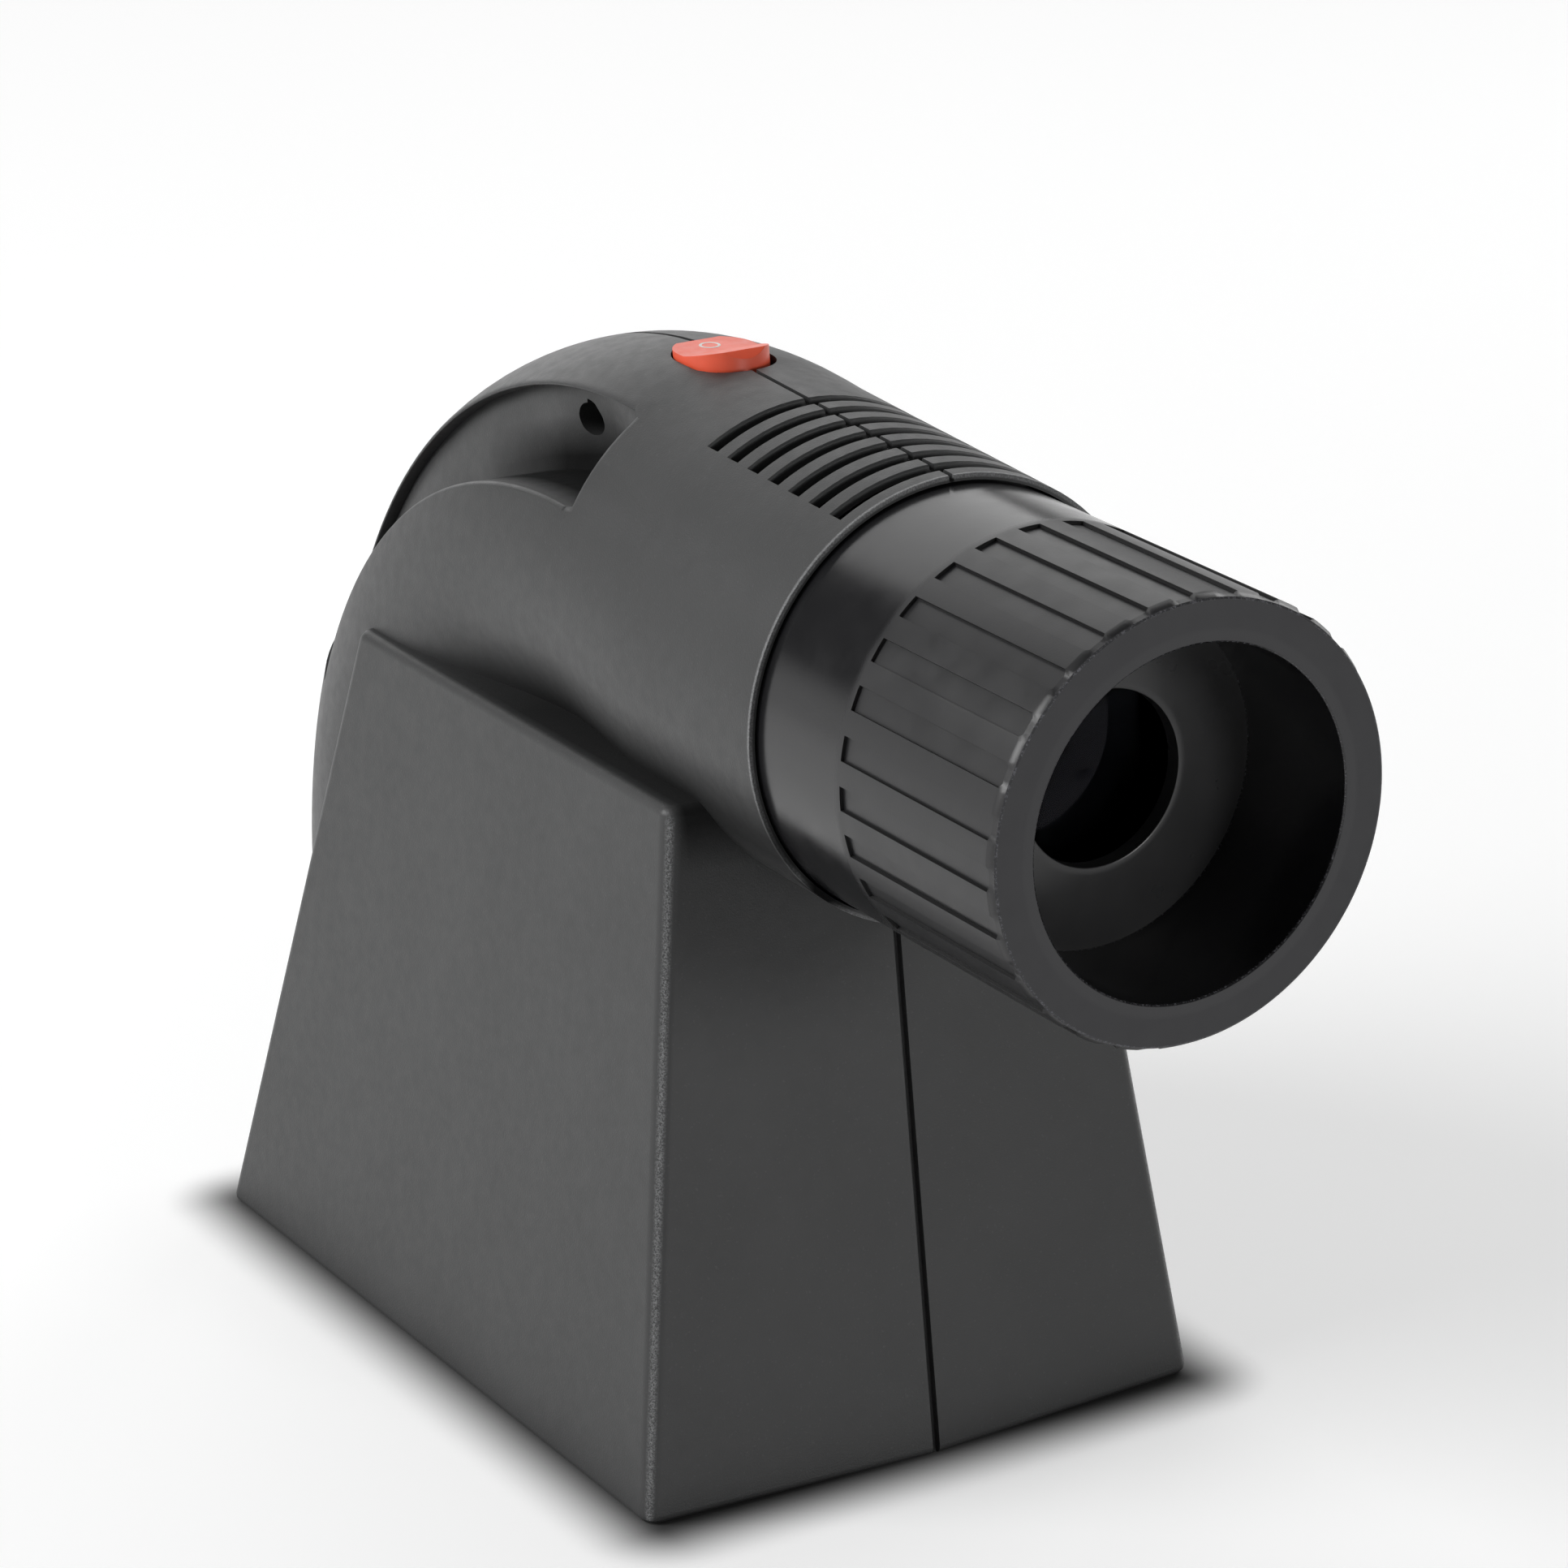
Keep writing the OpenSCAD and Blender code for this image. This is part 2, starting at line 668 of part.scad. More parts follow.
// On a lamp's slope: Z points up the board, Y away from the picture
module lamp_slope(s) {
    window_edge(s) translate([0, riser_out, riser_h]) rotate([lamp_tilt, 0, 0]) children();
}

module lamp_bracket(s) {
    inner = riser_out - sheet_t;
    run = lamp_l * sin(lamp_tilt);
    rise = lamp_l * cos(lamp_tilt);
    color("#a9adb1") window_edge(s) difference() {
        rotate([90, 0, 90]) translate([0, 0, -lamp_w / 2]) linear_extrude(lamp_w) polygon([
            [bracket_foot, 0], [riser_out, 0], [riser_out, riser_h],
            [riser_out - run, riser_h + rise],
            [riser_out - run - sheet_t * cos(lamp_tilt), riser_h + rise - sheet_t * sin(lamp_tilt)],
            [inner, riser_h - sheet_t * tan(lamp_tilt / 2)], [inner, sheet_t],
            [bracket_foot, sheet_t]]);
        for (x = BRACKET_XS) translate([x, bracket_hole, -1]) cylinder(r = screw_r, h = 10);
    }
}

module heat_sink(s) {
    fin_t = 1.4;
    color("#8d9296") lamp_slope(s) {
        translate([-lamp_w / 2 + 4, 0, 1.5]) cube([lamp_w - 8, 2.5, sink_l]);
        for (i = [0 : fin_count - 1])
            translate([-lamp_w / 2 + 4 + i * (lamp_w - 8 - fin_t) / (fin_count - 1), 2, 1.5])
                cube([fin_t, 7, sink_l]);
    }
}

module lamp_board(s) {
    color("#f2f2ee") lamp_slope(s)
        translate([-lamp_w / 2 + 4, -sheet_t - 1.6, 4]) cube([lamp_w - 8, 1.6, 26]);
}

module lamp_chips(s) {
    color("#f0d96a") lamp_slope(s)
        for (i = [0 : chip_count - 1], z = [11, 23])
            translate([(i - (chip_count - 1) / 2) * (lamp_w - 8) / chip_count - chip_w / 2,
                -sheet_t - 2.6, z - chip_w / 2]) cube([chip_w, 1, chip_w]);
}

// Screen over each lamp that keeps its direct light off the mirror
module light_screen(s) {
    color("#17181a") lamp_slope(s) {
        translate([-lamp_w / 2, -14, lamp_l]) cube([lamp_w, 14, sheet_t]);
        translate([-lamp_w / 2, 0, lamp_l - 3]) cube([lamp_w, sheet_t, 3 + sheet_t]);
    }
}

module lamp_screws() {
    color("#c8c8c6") for (s = [-1, 1], x = BRACKET_XS) window_edge(s)
        translate([x, bracket_hole, 0]) {
            translate([0, 0, sheet_t]) cylinder(r = screw_head_r, h = 1.6);
            translate([0, 0, -frame_t + 0.4]) cylinder(r = screw_r, h = frame_t + sheet_t);
        }
}

module lamp_bracket_front() lamp_bracket(-1);
module lamp_bracket_rear() lamp_bracket(1);
module heat_sink_front() heat_sink(-1);
module heat_sink_rear() heat_sink(1);
module lamp_board_front() lamp_board(-1);
module lamp_board_rear() lamp_board(1);
module lamp_chips_front() lamp_chips(-1);
module lamp_chips_rear() lamp_chips(1);
module light_screen_front() light_screen(-1);
module light_screen_rear() light_screen(1);

// ---------------------------------------------------------------- power and switch

board_t = 1.6;
jack_x = base_w / 2 - 16.85;
jack_z = 28;
jack_r = 5.5;

module driver_board() {
    color("#1f6b3a") difference() {
        translate([-board_w / 2, board_y, board_z]) cube([board_w, board_t, board_h]);
        for (x = BOARD_XS, z = BOARD_ZS)
            translate([x, board_y + 5, z]) rotate([90, 0, 0]) cylinder(r = screw_r + 0.1, h = 10);
    }
}

module driver_parts() {
    face = board_y + board_t;
    color("#2a2c30") translate([0, face, board_z]) {
        translate([-14, 0, 8]) cube([11, 6, 9]);
        translate([4, 0, 22]) cube([9, 2, 7]);
        translate([-10, 0, 27]) rotate([-90, 0, 0]) cylinder(r = 4, h = 7);
        translate([12, 0, 10]) rotate([-90, 0, 0]) cylinder(r = 3.2, h = 5);
        translate([-4, 0, 1.5]) cube([12, 5, 5]);
    }
}

module board_screws() {
    color("#c8c8c6") for (x = BOARD_XS, z = BOARD_ZS)
        translate([x, board_y + board_t + 1.6, z]) rotate([90, 0, 0]) {
            cylinder(r = screw_head_r, h = 1.6);
            cylinder(r = screw_r, h = 7);
        }
}

// Puts children on the rear wall, Z pointing straight out of it
module jack_site() {
    translate([jack_x, rear_y - jack_z * tan(rear_lean), jack_z]) rotate([rear_lean - 90, 0, 0]) children();
}

module power_jack() {
    pin_r = 1;
    socket_r = 2.75;
    color("#26272a") jack_site() {
        difference() {
            union() {
                cylinder(r = 7, h = 1.5);
                translate([0, 0, -14]) cylinder(r = jack_r, h = 14);
            }
            translate([0, 0, -8]) cylinder(r = socket_r, h = 20);
        }
        translate([0, 0, -8 - eps]) cylinder(r = pin_r, h = 8);
        for (s = [-1, 1]) translate([s * 2.5 - 0.4, -1.5, -19]) cube([0.8, 3, 5]);
    }
}

module jack_nut() {
    wall_t = wall * cos(rear_lean);
    color("#b9bcc0") jack_site() difference() {
        translate([0, 0, -wall_t - 2.5]) cylinder(r = 8.2, h = 2.5, $fn = 6);
        translate([0, 0, -20]) cylinder(r = jack_r, h = 20);
    }
}

switch_half_l = rocker_l / 2 + 3.5;
switch_w = rocker_w + 1;
well_half_l = rocker_l / 2 + 0.6;
well_half_w = rocker_w / 2 - 0.4;
pin_fit = 0.05;

module switch_body() {
    color("#1b1c1e") difference() {
        translate([-switch_w / 2, rocker_y - switch_half_l, switch_top - switch_deep])
            cube([switch_w, 2 * switch_half_l, switch_deep]);
        translate([-well_half_w, rocker_y - well_half_l, switch_top - 11])
            cube([2 * well_half_w, 2 * well_half_l, 20]);
        translate([-switch_w, rocker_y, pivot_z]) rotate([0, 90, 0]) cylinder(r = pivot_r, h = 2 * switch_w);
    }
}

module switch_terminals() {
    color("#c9b27a") for (s = [-1, 1])
        translate([-2.4, rocker_y + s * 6 - 0.4, switch_top - switch_deep - 8]) cube([4.8, 0.8, 8]);
}

module rocker_pin() {
    color("#c8c8c6") translate([-switch_w / 2, rocker_y, pivot_z]) rotate([0, 90, 0])
        cylinder(r = pivot_r, h = switch_w);
}

// The rocker rests with its rear end pressed; both halves of its top slope up to the ends
module rocker() {
    end_gap_y = 0.15;
    half_l = (rocker_l / 2 - end_gap_y - (crown_h - pivot_z) * sin(rocker_tilt)) / cos(rocker_tilt);
    side_gap = 0.7;
    sweep_r = norm([half_l, crown_h - pivot_z - 0.3]);
    corner_turn = acos((crown_h + rocker_rise - pivot_z) / sweep_r) + rocker_tilt;
    mid_h = sweep_r * cos(corner_turn) - sweep_r * sin(corner_turn) * tan(rocker_tilt);
    color("#d8442f") translate([0, rocker_y, pivot_z]) rotate([-rocker_tilt, 0, 0]) difference() {
        intersection() {
            translate([0, 0, -3]) oval(rocker_w - 2 * side_gap, 2 * half_l, 30);
            translate([-far / 8, 0, 0]) rotate([0, 90, 0]) cylinder(r = sweep_r, h = far / 4);
        }
        for (s = [-1, 1]) translate([0, 0, mid_h]) mirror([0, s < 0 ? 1 : 0, 0])
            rotate([rocker_tilt, 0, 0]) translate([-far / 8, -1, 0]) cube([far / 4, 40, 40]);
        translate([-far / 8, 0, 0]) rotate([0, 90, 0]) cylinder(r = pivot_r + pin_fit, h = far / 4);
    }
}

left_shell();
right_shell();
shell_screws();
floor_frame();
floor_screws();
window_glass();
glass_clips();
guide_sleeve();
focus_barrel();
follower_pins();
aperture_stop();
coupling_ring();
lens_cell();
front_lens();
lens_retainer();
front_mirror();
mirror_plate();
mirror_clips();
lamp_bracket_front();
lamp_bracket_rear();
lamp_screws();
heat_sink_front();
heat_sink_rear();
lamp_board_front();
lamp_board_rear();
lamp_chips_front();
lamp_chips_rear();
light_screen_front();
light_screen_rear();
driver_board();
driver_parts();
board_screws();
power_jack();
jack_nut();
switch_body();
switch_terminals();
rocker_pin();
rocker();
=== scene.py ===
"""Looks of an opaque projector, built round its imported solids.

The two moulded halves, the fluted focusing barrel, its aperture stop and the rocker are
modelled here in full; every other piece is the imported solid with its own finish.
All lengths are metres. +Z is up, the lens looks along -Y and the seam lies in X = 0.
"""
import json
import math
from contextlib import contextmanager

import bpy
from bpy.props import FloatProperty, FloatVectorProperty, IntProperty, PointerProperty
from bpy.types import Operator, Panel, PropertyGroup
from mathutils import Matrix, Vector


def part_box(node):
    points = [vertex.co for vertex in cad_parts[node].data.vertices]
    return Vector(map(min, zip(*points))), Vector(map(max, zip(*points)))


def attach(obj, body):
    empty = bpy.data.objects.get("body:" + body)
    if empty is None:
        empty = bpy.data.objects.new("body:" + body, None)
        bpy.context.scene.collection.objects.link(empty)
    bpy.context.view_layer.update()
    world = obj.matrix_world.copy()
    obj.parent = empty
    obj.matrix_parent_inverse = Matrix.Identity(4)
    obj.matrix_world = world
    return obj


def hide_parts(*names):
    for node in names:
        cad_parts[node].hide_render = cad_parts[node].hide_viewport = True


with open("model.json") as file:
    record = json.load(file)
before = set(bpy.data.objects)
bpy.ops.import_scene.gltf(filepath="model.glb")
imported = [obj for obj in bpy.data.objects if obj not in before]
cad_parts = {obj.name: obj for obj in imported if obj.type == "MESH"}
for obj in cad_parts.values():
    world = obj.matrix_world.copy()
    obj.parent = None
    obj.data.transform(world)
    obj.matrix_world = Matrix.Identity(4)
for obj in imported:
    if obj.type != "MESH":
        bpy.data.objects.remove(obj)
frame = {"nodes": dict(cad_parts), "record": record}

bl_info = {
    "name": "Opaque Projector",
    "version": (1, 0, 0),
    "blender": (4, 5, 0),
    "location": "View3D > Sidebar > Projector",
    "description": "Models the housing, barrel and switch of an opaque projector on its frame",
    "category": "Object",
}

MM = 0.001
FAR = 400 * MM        # beyond every side of the object
QUARTER = math.pi / 2
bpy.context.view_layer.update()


# ------------------------------------------------------------------ sizes and colours

def length(name, description, default):
    return FloatProperty(name=name, description=description, default=default * MM,
                         subtype="DISTANCE", unit="LENGTH", precision=5)


def angle(name, description, default):
    return FloatProperty(name=name, description=description,
                         default=math.radians(default), subtype="ANGLE", unit="ROTATION")


def colour(name, description, default):
    return FloatVectorProperty(name=name, description=description, default=default,
                               size=3, min=0.0, max=1.0, subtype="COLOR")


class ProjectorSizes(PropertyGroup):
    """Sizes of the pieces that are modelled here"""
    base_w: length("Base width", "Width of the base at the table", 139.7)
    base_h: length("Panel height", "Height of the side panels", 150.5)
    base_front: length("Front", "Place along Y of the front seam at the table", -72.125)
    base_rear: length("Rear", "Place along Y of the rear wall at the table", 131.175)
    front_draft: length("Front draft", "How far the front corners stand back", 4.1)
    side_lean: angle("Side lean", "Lean of the side panels from the vertical", 7.52)
    front_lean: angle("Front lean", "Lean of the front wall from the vertical", 7.86)
    rear_lean: angle("Rear lean", "Lean of the rear wall from the vertical", 14.47)
    edge_r: length("Edge radius", "Radius of the upright edges", 3.5)
    rim_r: length("Rim radius", "Radius of the panels' upper edge", 2.2)
    foot_r: length("Foot radius", "Radius of the edge at the table", 2.2)
    wall: length("Wall", "Wall of the moulded halves", 2.6)
    head_r: length("Head radius", "Radius of the round back's section", 47.0)
    collar_r: length("Collar radius", "Radius of the collar round the barrel", 48.1)
    axis_h: length("Axis height", "Height of the lens axis", 173.4)
    collar_y: length("Collar", "Place along Y of the collar's face", -76.825)
    bend_r: length("Bend radius", "Radius of the bend's centre line", 100.0)
    bend_y: length("Bend place", "Place along Y of the bend's centre", 14.925)
    bend_z: length("Bend height", "Height of the bend's centre", 79.0)
    foot_turn: angle("Foot angle", "How far the bend runs below the level", 38.0)
    head_tilt: angle("Head tilt", "Slope of the head's upper line", 3.62)
    seam_gap: length("Seam", "Gap between the halves", 0.16)
    seam_w: length("Seam groove", "Width of the groove along the seam", 1.2)
    seam_deep: length("Seam depth", "Depth of the groove along the seam", 1.3)
    lip_r: length("Lip radius", "Radius of the grip hollow's outer lip", 2.4)
    vent_w: length("Vent width", "Width of one vent slot", 3.2)
    vent_pitch: length("Vent pitch", "Distance from slot to slot", 8.0)
    vent_start: length("First vent", "Distance from the collar to the first slot", 5.7)
    vent_half: angle("Vent reach", "Half the angle that a slot spans over the head", 30.0)
    vent_count: IntProperty(name="Vents", description="Number of vent slots", default=7,
                            min=1, max=9)
    well_r: length("Well radius", "Radius of the well round the barrel", 46.7)
    barrel_r: length("Barrel radius", "Outer radius of the barrel", 46.2)
    barrel_out: length("Barrel reach", "Length of the barrel in front of the collar", 85.1)
    barrel_in: length("Barrel tail", "Length of the barrel inside the head", 32.0)
    bore_r: length("Bore radius", "Radius of the open bore", 36.4)
    bore_deep: length("Bore depth", "Depth of the bore down to the stop", 32.0)
    stop_r: length("Stop radius", "Radius of the hole in the stop", 18.4)
    groove_l: length("Groove length", "Length of the grip grooves", 53.9)
    groove_deep: length("Groove depth", "Depth of the grip grooves", 0.75)
    rib_taper: length("Rib taper", "Length of the taper at the ribs' front ends", 1.9)
    groove_turn: angle("First groove", "Angle of the first groove's middle", 92.7)
    groove_count: IntProperty(name="Grooves", description="Number of grip grooves",
                              default=28, min=12, max=40)
    rocker_w: length("Rocker width", "Width of the rocker's opening", 20.0)
    rocker_l: length("Rocker length", "Length of the rocker's opening", 25.2)
    rocker_y: length("Rocker place", "Place along Y of the rocker", 12.725)
    crown_h: length("Crown", "Height of the crown of the head", 226.0)
    rocker_tilt: angle("Rocker tilt", "Angle of the rocker to each side", 7.0)


class ProjectorColours(PropertyGroup):
    """Colours of the finishes"""
    shell: colour("Housing", "Moulded black plastic of the halves", (0.038, 0.0385, 0.039))
    barrel: colour("Barrel", "Glossy black plastic of the barrel", (0.010, 0.010, 0.011))
    rocker: colour("Rocker", "Orange red of the rocker", (0.90, 0.115, 0.052))
    mark: colour("Mark", "Printed mark on the rocker", (0.85, 0.82, 0.78))
    floor: colour("Floor", "Pale floor", (0.66, 0.66, 0.66))


# ------------------------------------------------------------------ modelling helpers

def start_fresh():
    """Leaves every object unselected and the mode at object mode."""
    if bpy.context.object is not None and bpy.context.object.mode != "OBJECT":
        bpy.ops.object.mode_set(mode="OBJECT")
    bpy.ops.object.select_all(action="DESELECT")


def activate(obj):
    start_fresh()
    obj.select_set(True)
    bpy.context.view_layer.objects.active = obj


@contextmanager
def editing(obj, everything=False):
    """Edit mode of one object, with all of it selected if asked, and back again."""
    activate(obj)
    bpy.ops.object.mode_set(mode="EDIT")
    if everything:
        bpy.ops.mesh.select_all(action="SELECT")
    yield obj
    bpy.ops.object.mode_set(mode="OBJECT")


def pick(obj, kind, test):
    """In edit mode, selects what passes the test on its place, and no hidden corner."""
    bpy.ops.mesh.select_mode(type=kind)
    bpy.ops.mesh.select_all(action="DESELECT")
    bpy.ops.object.mode_set(mode="OBJECT")
    mesh = obj.data
    if kind == "VERT":
        parts = [(v, not v.hide and test(v.co)) for v in mesh.vertices]
    elif kind == "EDGE":
        parts = [(e, test(*(mesh.vertices[i].co for i in e.vertices))) for e in mesh.edges]
    else:
        parts = [(f, test(f.center)) for f in mesh.polygons]
    for part, chosen in parts:
        part.select = chosen
    bpy.ops.object.mode_set(mode="EDIT")
    return sum(chosen for part, chosen in parts)


def apply_modifier(obj, kind, **settings):
    activate(obj)
    modifier = obj.modifiers.new(kind.lower(), kind)
    for key, value in settings.items():
        setattr(modifier, key, value)
    bpy.ops.object.modifier_apply(modifier=modifier.name)


def combine(obj, tool, operation):
    """Joins, cuts or keeps what is common of two closed solids, and removes the second."""
    apply_modifier(obj, "BOOLEAN", operation=operation, solver="EXACT", object=tool)
    bpy.data.objects.remove(tool)
    with editing(obj):
        bpy.ops.mesh.select_all(action="DESELECT")
        bpy.ops.mesh.select_non_manifold()
        open_edges = obj.data.total_edge_sel
    if open_edges:
        raise RuntimeError(f"{obj.name}: {open_edges} open edges after a cut")


def copy_of(obj):
    twin = obj.copy()
    twin.data = obj.data.copy()
    bpy.context.scene.collection.objects.link(twin)
    return twin


def outward(obj):
    """Merges doubles and turns all faces outwards."""
    with editing(obj, True):
        bpy.ops.mesh.remove_doubles(threshold=1e-6)
        bpy.ops.mesh.normals_make_consistent(inside=False)
    return obj


def dress(obj, name, material, smooth):
    """Names a finished piece, puts its place in its mesh and gives it its finish."""
    activate(obj)
    bpy.ops.object.transform_apply(location=True, rotation=True, scale=True)
    bpy.ops.object.shade_smooth_by_angle(angle=math.radians(smooth))
    apply_modifier(obj, "WEIGHTED_NORMAL", keep_sharp=True, weight=50)
    obj.name = name
    obj.data.name = name
    obj.data.materials.clear()
    obj.data.materials.append(material)
    return obj


def settled(name):
    """The object just added, named, with its place put in its mesh."""
    bpy.ops.object.transform_apply(location=True, rotation=True, scale=True)
    bpy.context.object.name = name
    return bpy.context.object


def block(low, high, name="block"):
    """A cube between two corners."""
    low, high = Vector(low), Vector(high)
    start_fresh()
    bpy.ops.mesh.primitive_cube_add(size=1, location=(low + high) / 2, scale=high - low)
    return settled(name)


def rod(radius, depth, place, turn, vertices, name):
    """A closed cylinder with its axis along Z before it is turned."""
    start_fresh()
    bpy.ops.mesh.primitive_cylinder_add(radius=radius, depth=depth, location=place,
                                        rotation=turn, vertices=vertices)
    return settled(name)


def lathe(stations, place, turn, steps, start, name):
    """Rings of one circle, extruded from station to station: (radius, distance) pairs.

    The axis is Z before the turn, the first corner is at the start angle round it, and
    the last ring is joined to the first.
    """
    start_fresh()
    bpy.ops.mesh.primitive_circle_add(vertices=steps, radius=stations[0][0],
                                      fill_type="NOTHING")
    obj = bpy.context.object
    obj.name = name
    with editing(obj, True):
        bpy.ops.transform.translate(value=(0, 0, stations[0][1]))
        for (r0, z0), (r1, z1) in zip(stations, stations[1:]):
            bpy.ops.mesh.extrude_region_move(TRANSFORM_OT_translate={"value": (0, 0, z1 - z0)})
            k = r1 / r0
            bpy.ops.transform.resize(value=(k, k, 1), center_override=(0, 0, z1))
        bpy.ops.mesh.select_all(action="DESELECT")
        bpy.ops.mesh.select_non_manifold()
        bpy.ops.mesh.bridge_edge_loops()
    obj.matrix_world = Matrix.Translation(place) @ turn @ Matrix.Rotation(start, 4, "Z")
    activate(obj)
    bpy.ops.object.transform_apply(location=True, rotation=True, scale=True)
    return outward(obj)


def outline(points, name):
    """One flat face whose corners are the points."""
    start_fresh()
    bpy.ops.mesh.primitive_circle_add(vertices=len(points), radius=1, fill_type="NGON")
    obj = bpy.context.object
    obj.name = name
    for vertex, point in zip(obj.data.vertices, points):
        vertex.co = Vector(point)
    return obj


def prism(points, along):
    """A flat face pulled along a vector into a closed solid."""
    with editing(outline(points, "prism"), True) as obj:
        bpy.ops.mesh.extrude_region_move(TRANSFORM_OT_translate={"value": along})
    return outward(obj)


def swept(points, centre, axis, turn, steps):
    """A flat face spun through an angle round an axis into a closed solid."""
    with editing(outline(points, "swept"), True) as obj:
        bpy.ops.mesh.spin(steps=steps, angle=turn, center=centre, axis=axis)
    return outward(obj)


def move(obj, test, offset):
    """Moves the corners that pass the test."""
    with editing(obj):
        pick(obj, "VERT", test)
        bpy.ops.transform.translate(value=offset)


def round_edges(obj, test, radius, segments):
    """Bevels the edges that pass the test."""
    with editing(obj):
        if not pick(obj, "EDGE", test):
            raise RuntimeError(f"{obj.name}: no edge to round")
        bpy.ops.mesh.bevel(offset=radius, segments=segments, profile=0.5, affect="EDGES",
                           clamp_overlap=True)


def oval(radius, stretch, depth, place, vertices, name):
    """A closed upright column, its two halves drawn apart along Y."""
    obj = rod(radius, depth, place, (0, 0, 0), vertices, name)
    move(obj, lambda c: c.y > place[1] + 1e-4, (0, stretch, 0))
    move(obj, lambda c: c.y < place[1] - 1e-4, (0, -stretch, 0))
    return obj


# ------------------------------------------------------------------ housing

HEAD_SLOPE, HEAD_RISE = 0.0464, 4.5 * MM      # slope of the head's top, for that rise
# a grip's lips and ends in the bend, and half of what its floor leaves between the grips
GRIP_IN, GRIP_OUT = 121.3 * MM, 139.4 * MM
GRIP_FRONT, GRIP_REAR = math.radians(93.2), math.radians(24.0)
FLOOR_IN, FLOOR_OUT = 15.5 * MM, 20.5 * MM
# angle in degrees and depth in mm of each pull on the floor of a grip
GRIP_PULLS = ((86, 8.5), (79, 5.0), (72, 3.5), (65, 2.6), (58, 1.8), (51, 1.1), (44, 0.5))
STRAP_TURN, STRAP_R = math.radians(80.5), 131.2 * MM
RING = 96             # corners of the head's section
BEND_STEPS = 66       # sections along the bend


def bend_point(sizes, turn, radius, x=0.0):
    """A point at an angle and a radius of the bend."""
    return Vector((x, sizes.bend_y + radius * math.cos(turn),
                   sizes.bend_z + radius * math.sin(turn)))


def head_top(sizes, y):
    """Height of the head's upper line at a place along Y."""
    rise = sizes.crown_h - sizes.axis_h - sizes.collar_r
    slope = HEAD_SLOPE * rise / HEAD_RISE
    return sizes.axis_h + sizes.collar_r + (y - sizes.collar_y) * slope


def base_solid(sizes, inset, bottom, top):
    """The tapered base as one closed solid, drawn in by the inset."""
    def half(z):
        return sizes.base_w / 2 - inset - z * math.tan(sizes.side_lean)

    def front(z):
        return sizes.base_front + inset + z * math.tan(sizes.front_lean)

    def rear(z):
        return sizes.base_rear - inset - z * math.tan(sizes.rear_lean)

    obj = block((-half(bottom), front(bottom), bottom), (half(bottom), rear(bottom), top), "base")
    draw_in = half(bottom) - half(top)
    mid = (top + bottom) / 2
    move(obj, lambda c: c.z > mid and c.x < 0, (draw_in, 0, 0))
    move(obj, lambda c: c.z > mid and c.x > 0, (-draw_in, 0, 0))
    move(obj, lambda c: c.z > mid and c.y < 0, (0, front(top) - front(bottom), 0))
    move(obj, lambda c: c.z > mid and c.y > 0, (0, rear(top) - rear(bottom), 0))
    # the front is a shallow keel: the middle stands ahead of both corners
    with editing(obj, True):
        bpy.ops.mesh.bisect(plane_co=(0, 0, 0), plane_no=(1, 0, 0))
    move(obj, lambda c: c.y < 0 and abs(c.x) > 1 * MM, (0, sizes.front_draft, 0))
    return obj


def trim_base(sizes, obj):
    """Rounds the upright edges, the upper rim and the edge at the table."""
    def upright(a, b):
        return abs(a.z - b.z) > 50 * MM and abs(a.x) > 20 * MM

    def level(test):
        """Edges at a height that passes, but not the ones that lie in the seam."""
        return lambda a, b: test(a.z) and test(b.z) and max(abs(a.x), abs(b.x)) >= 1e-5

    round_edges(obj, upright, sizes.edge_r, 5)
    round_edges(obj, level(lambda z: z > sizes.base_h - 0.1 * MM), sizes.rim_r, 4)
    round_edges(obj, level(lambda z: z < 0.1 * MM), sizes.foot_r, 3)


def tube_solid(sizes, inset, hollow):
    """The round back and the head as one closed bent tube, with the grip hollows if asked."""
    radius = sizes.head_r - inset
    start = -sizes.foot_turn
    total = sizes.foot_turn + QUARTER + sizes.head_tilt
    start_fresh()
    bpy.ops.mesh.primitive_circle_add(vertices=RING, radius=radius, fill_type="NOTHING",
                                      location=bend_point(sizes, start, sizes.bend_r),
                                      rotation=(start, 0, 0))
    obj = settled("tube")
    with editing(obj, True):
        bpy.ops.mesh.spin(steps=BEND_STEPS, angle=total, center=bend_point(sizes, 0, 0),
                          axis=(-1, 0, 0))
        run_head_out(sizes, inset)
        bpy.ops.mesh.select_all(action="DESELECT")
        bpy.ops.mesh.select_non_manifold()
        bpy.ops.mesh.fill_holes(sides=0)
    outward(obj)
    if hollow:
        for side in (-1, 1):
            sink_grip(sizes, obj, side)
    with editing(obj, True):
        bpy.ops.mesh.bisect(plane_co=(0, sizes.collar_y, 0), plane_no=(0, -1, 0),
                            clear_outer=True, use_fill=True)
    if hollow:
        near = sizes.collar_y + 0.01 * MM
        round_edges(obj, lambda a, b: a.y < near and b.y < near, 0.7 * MM, 3)
    return obj


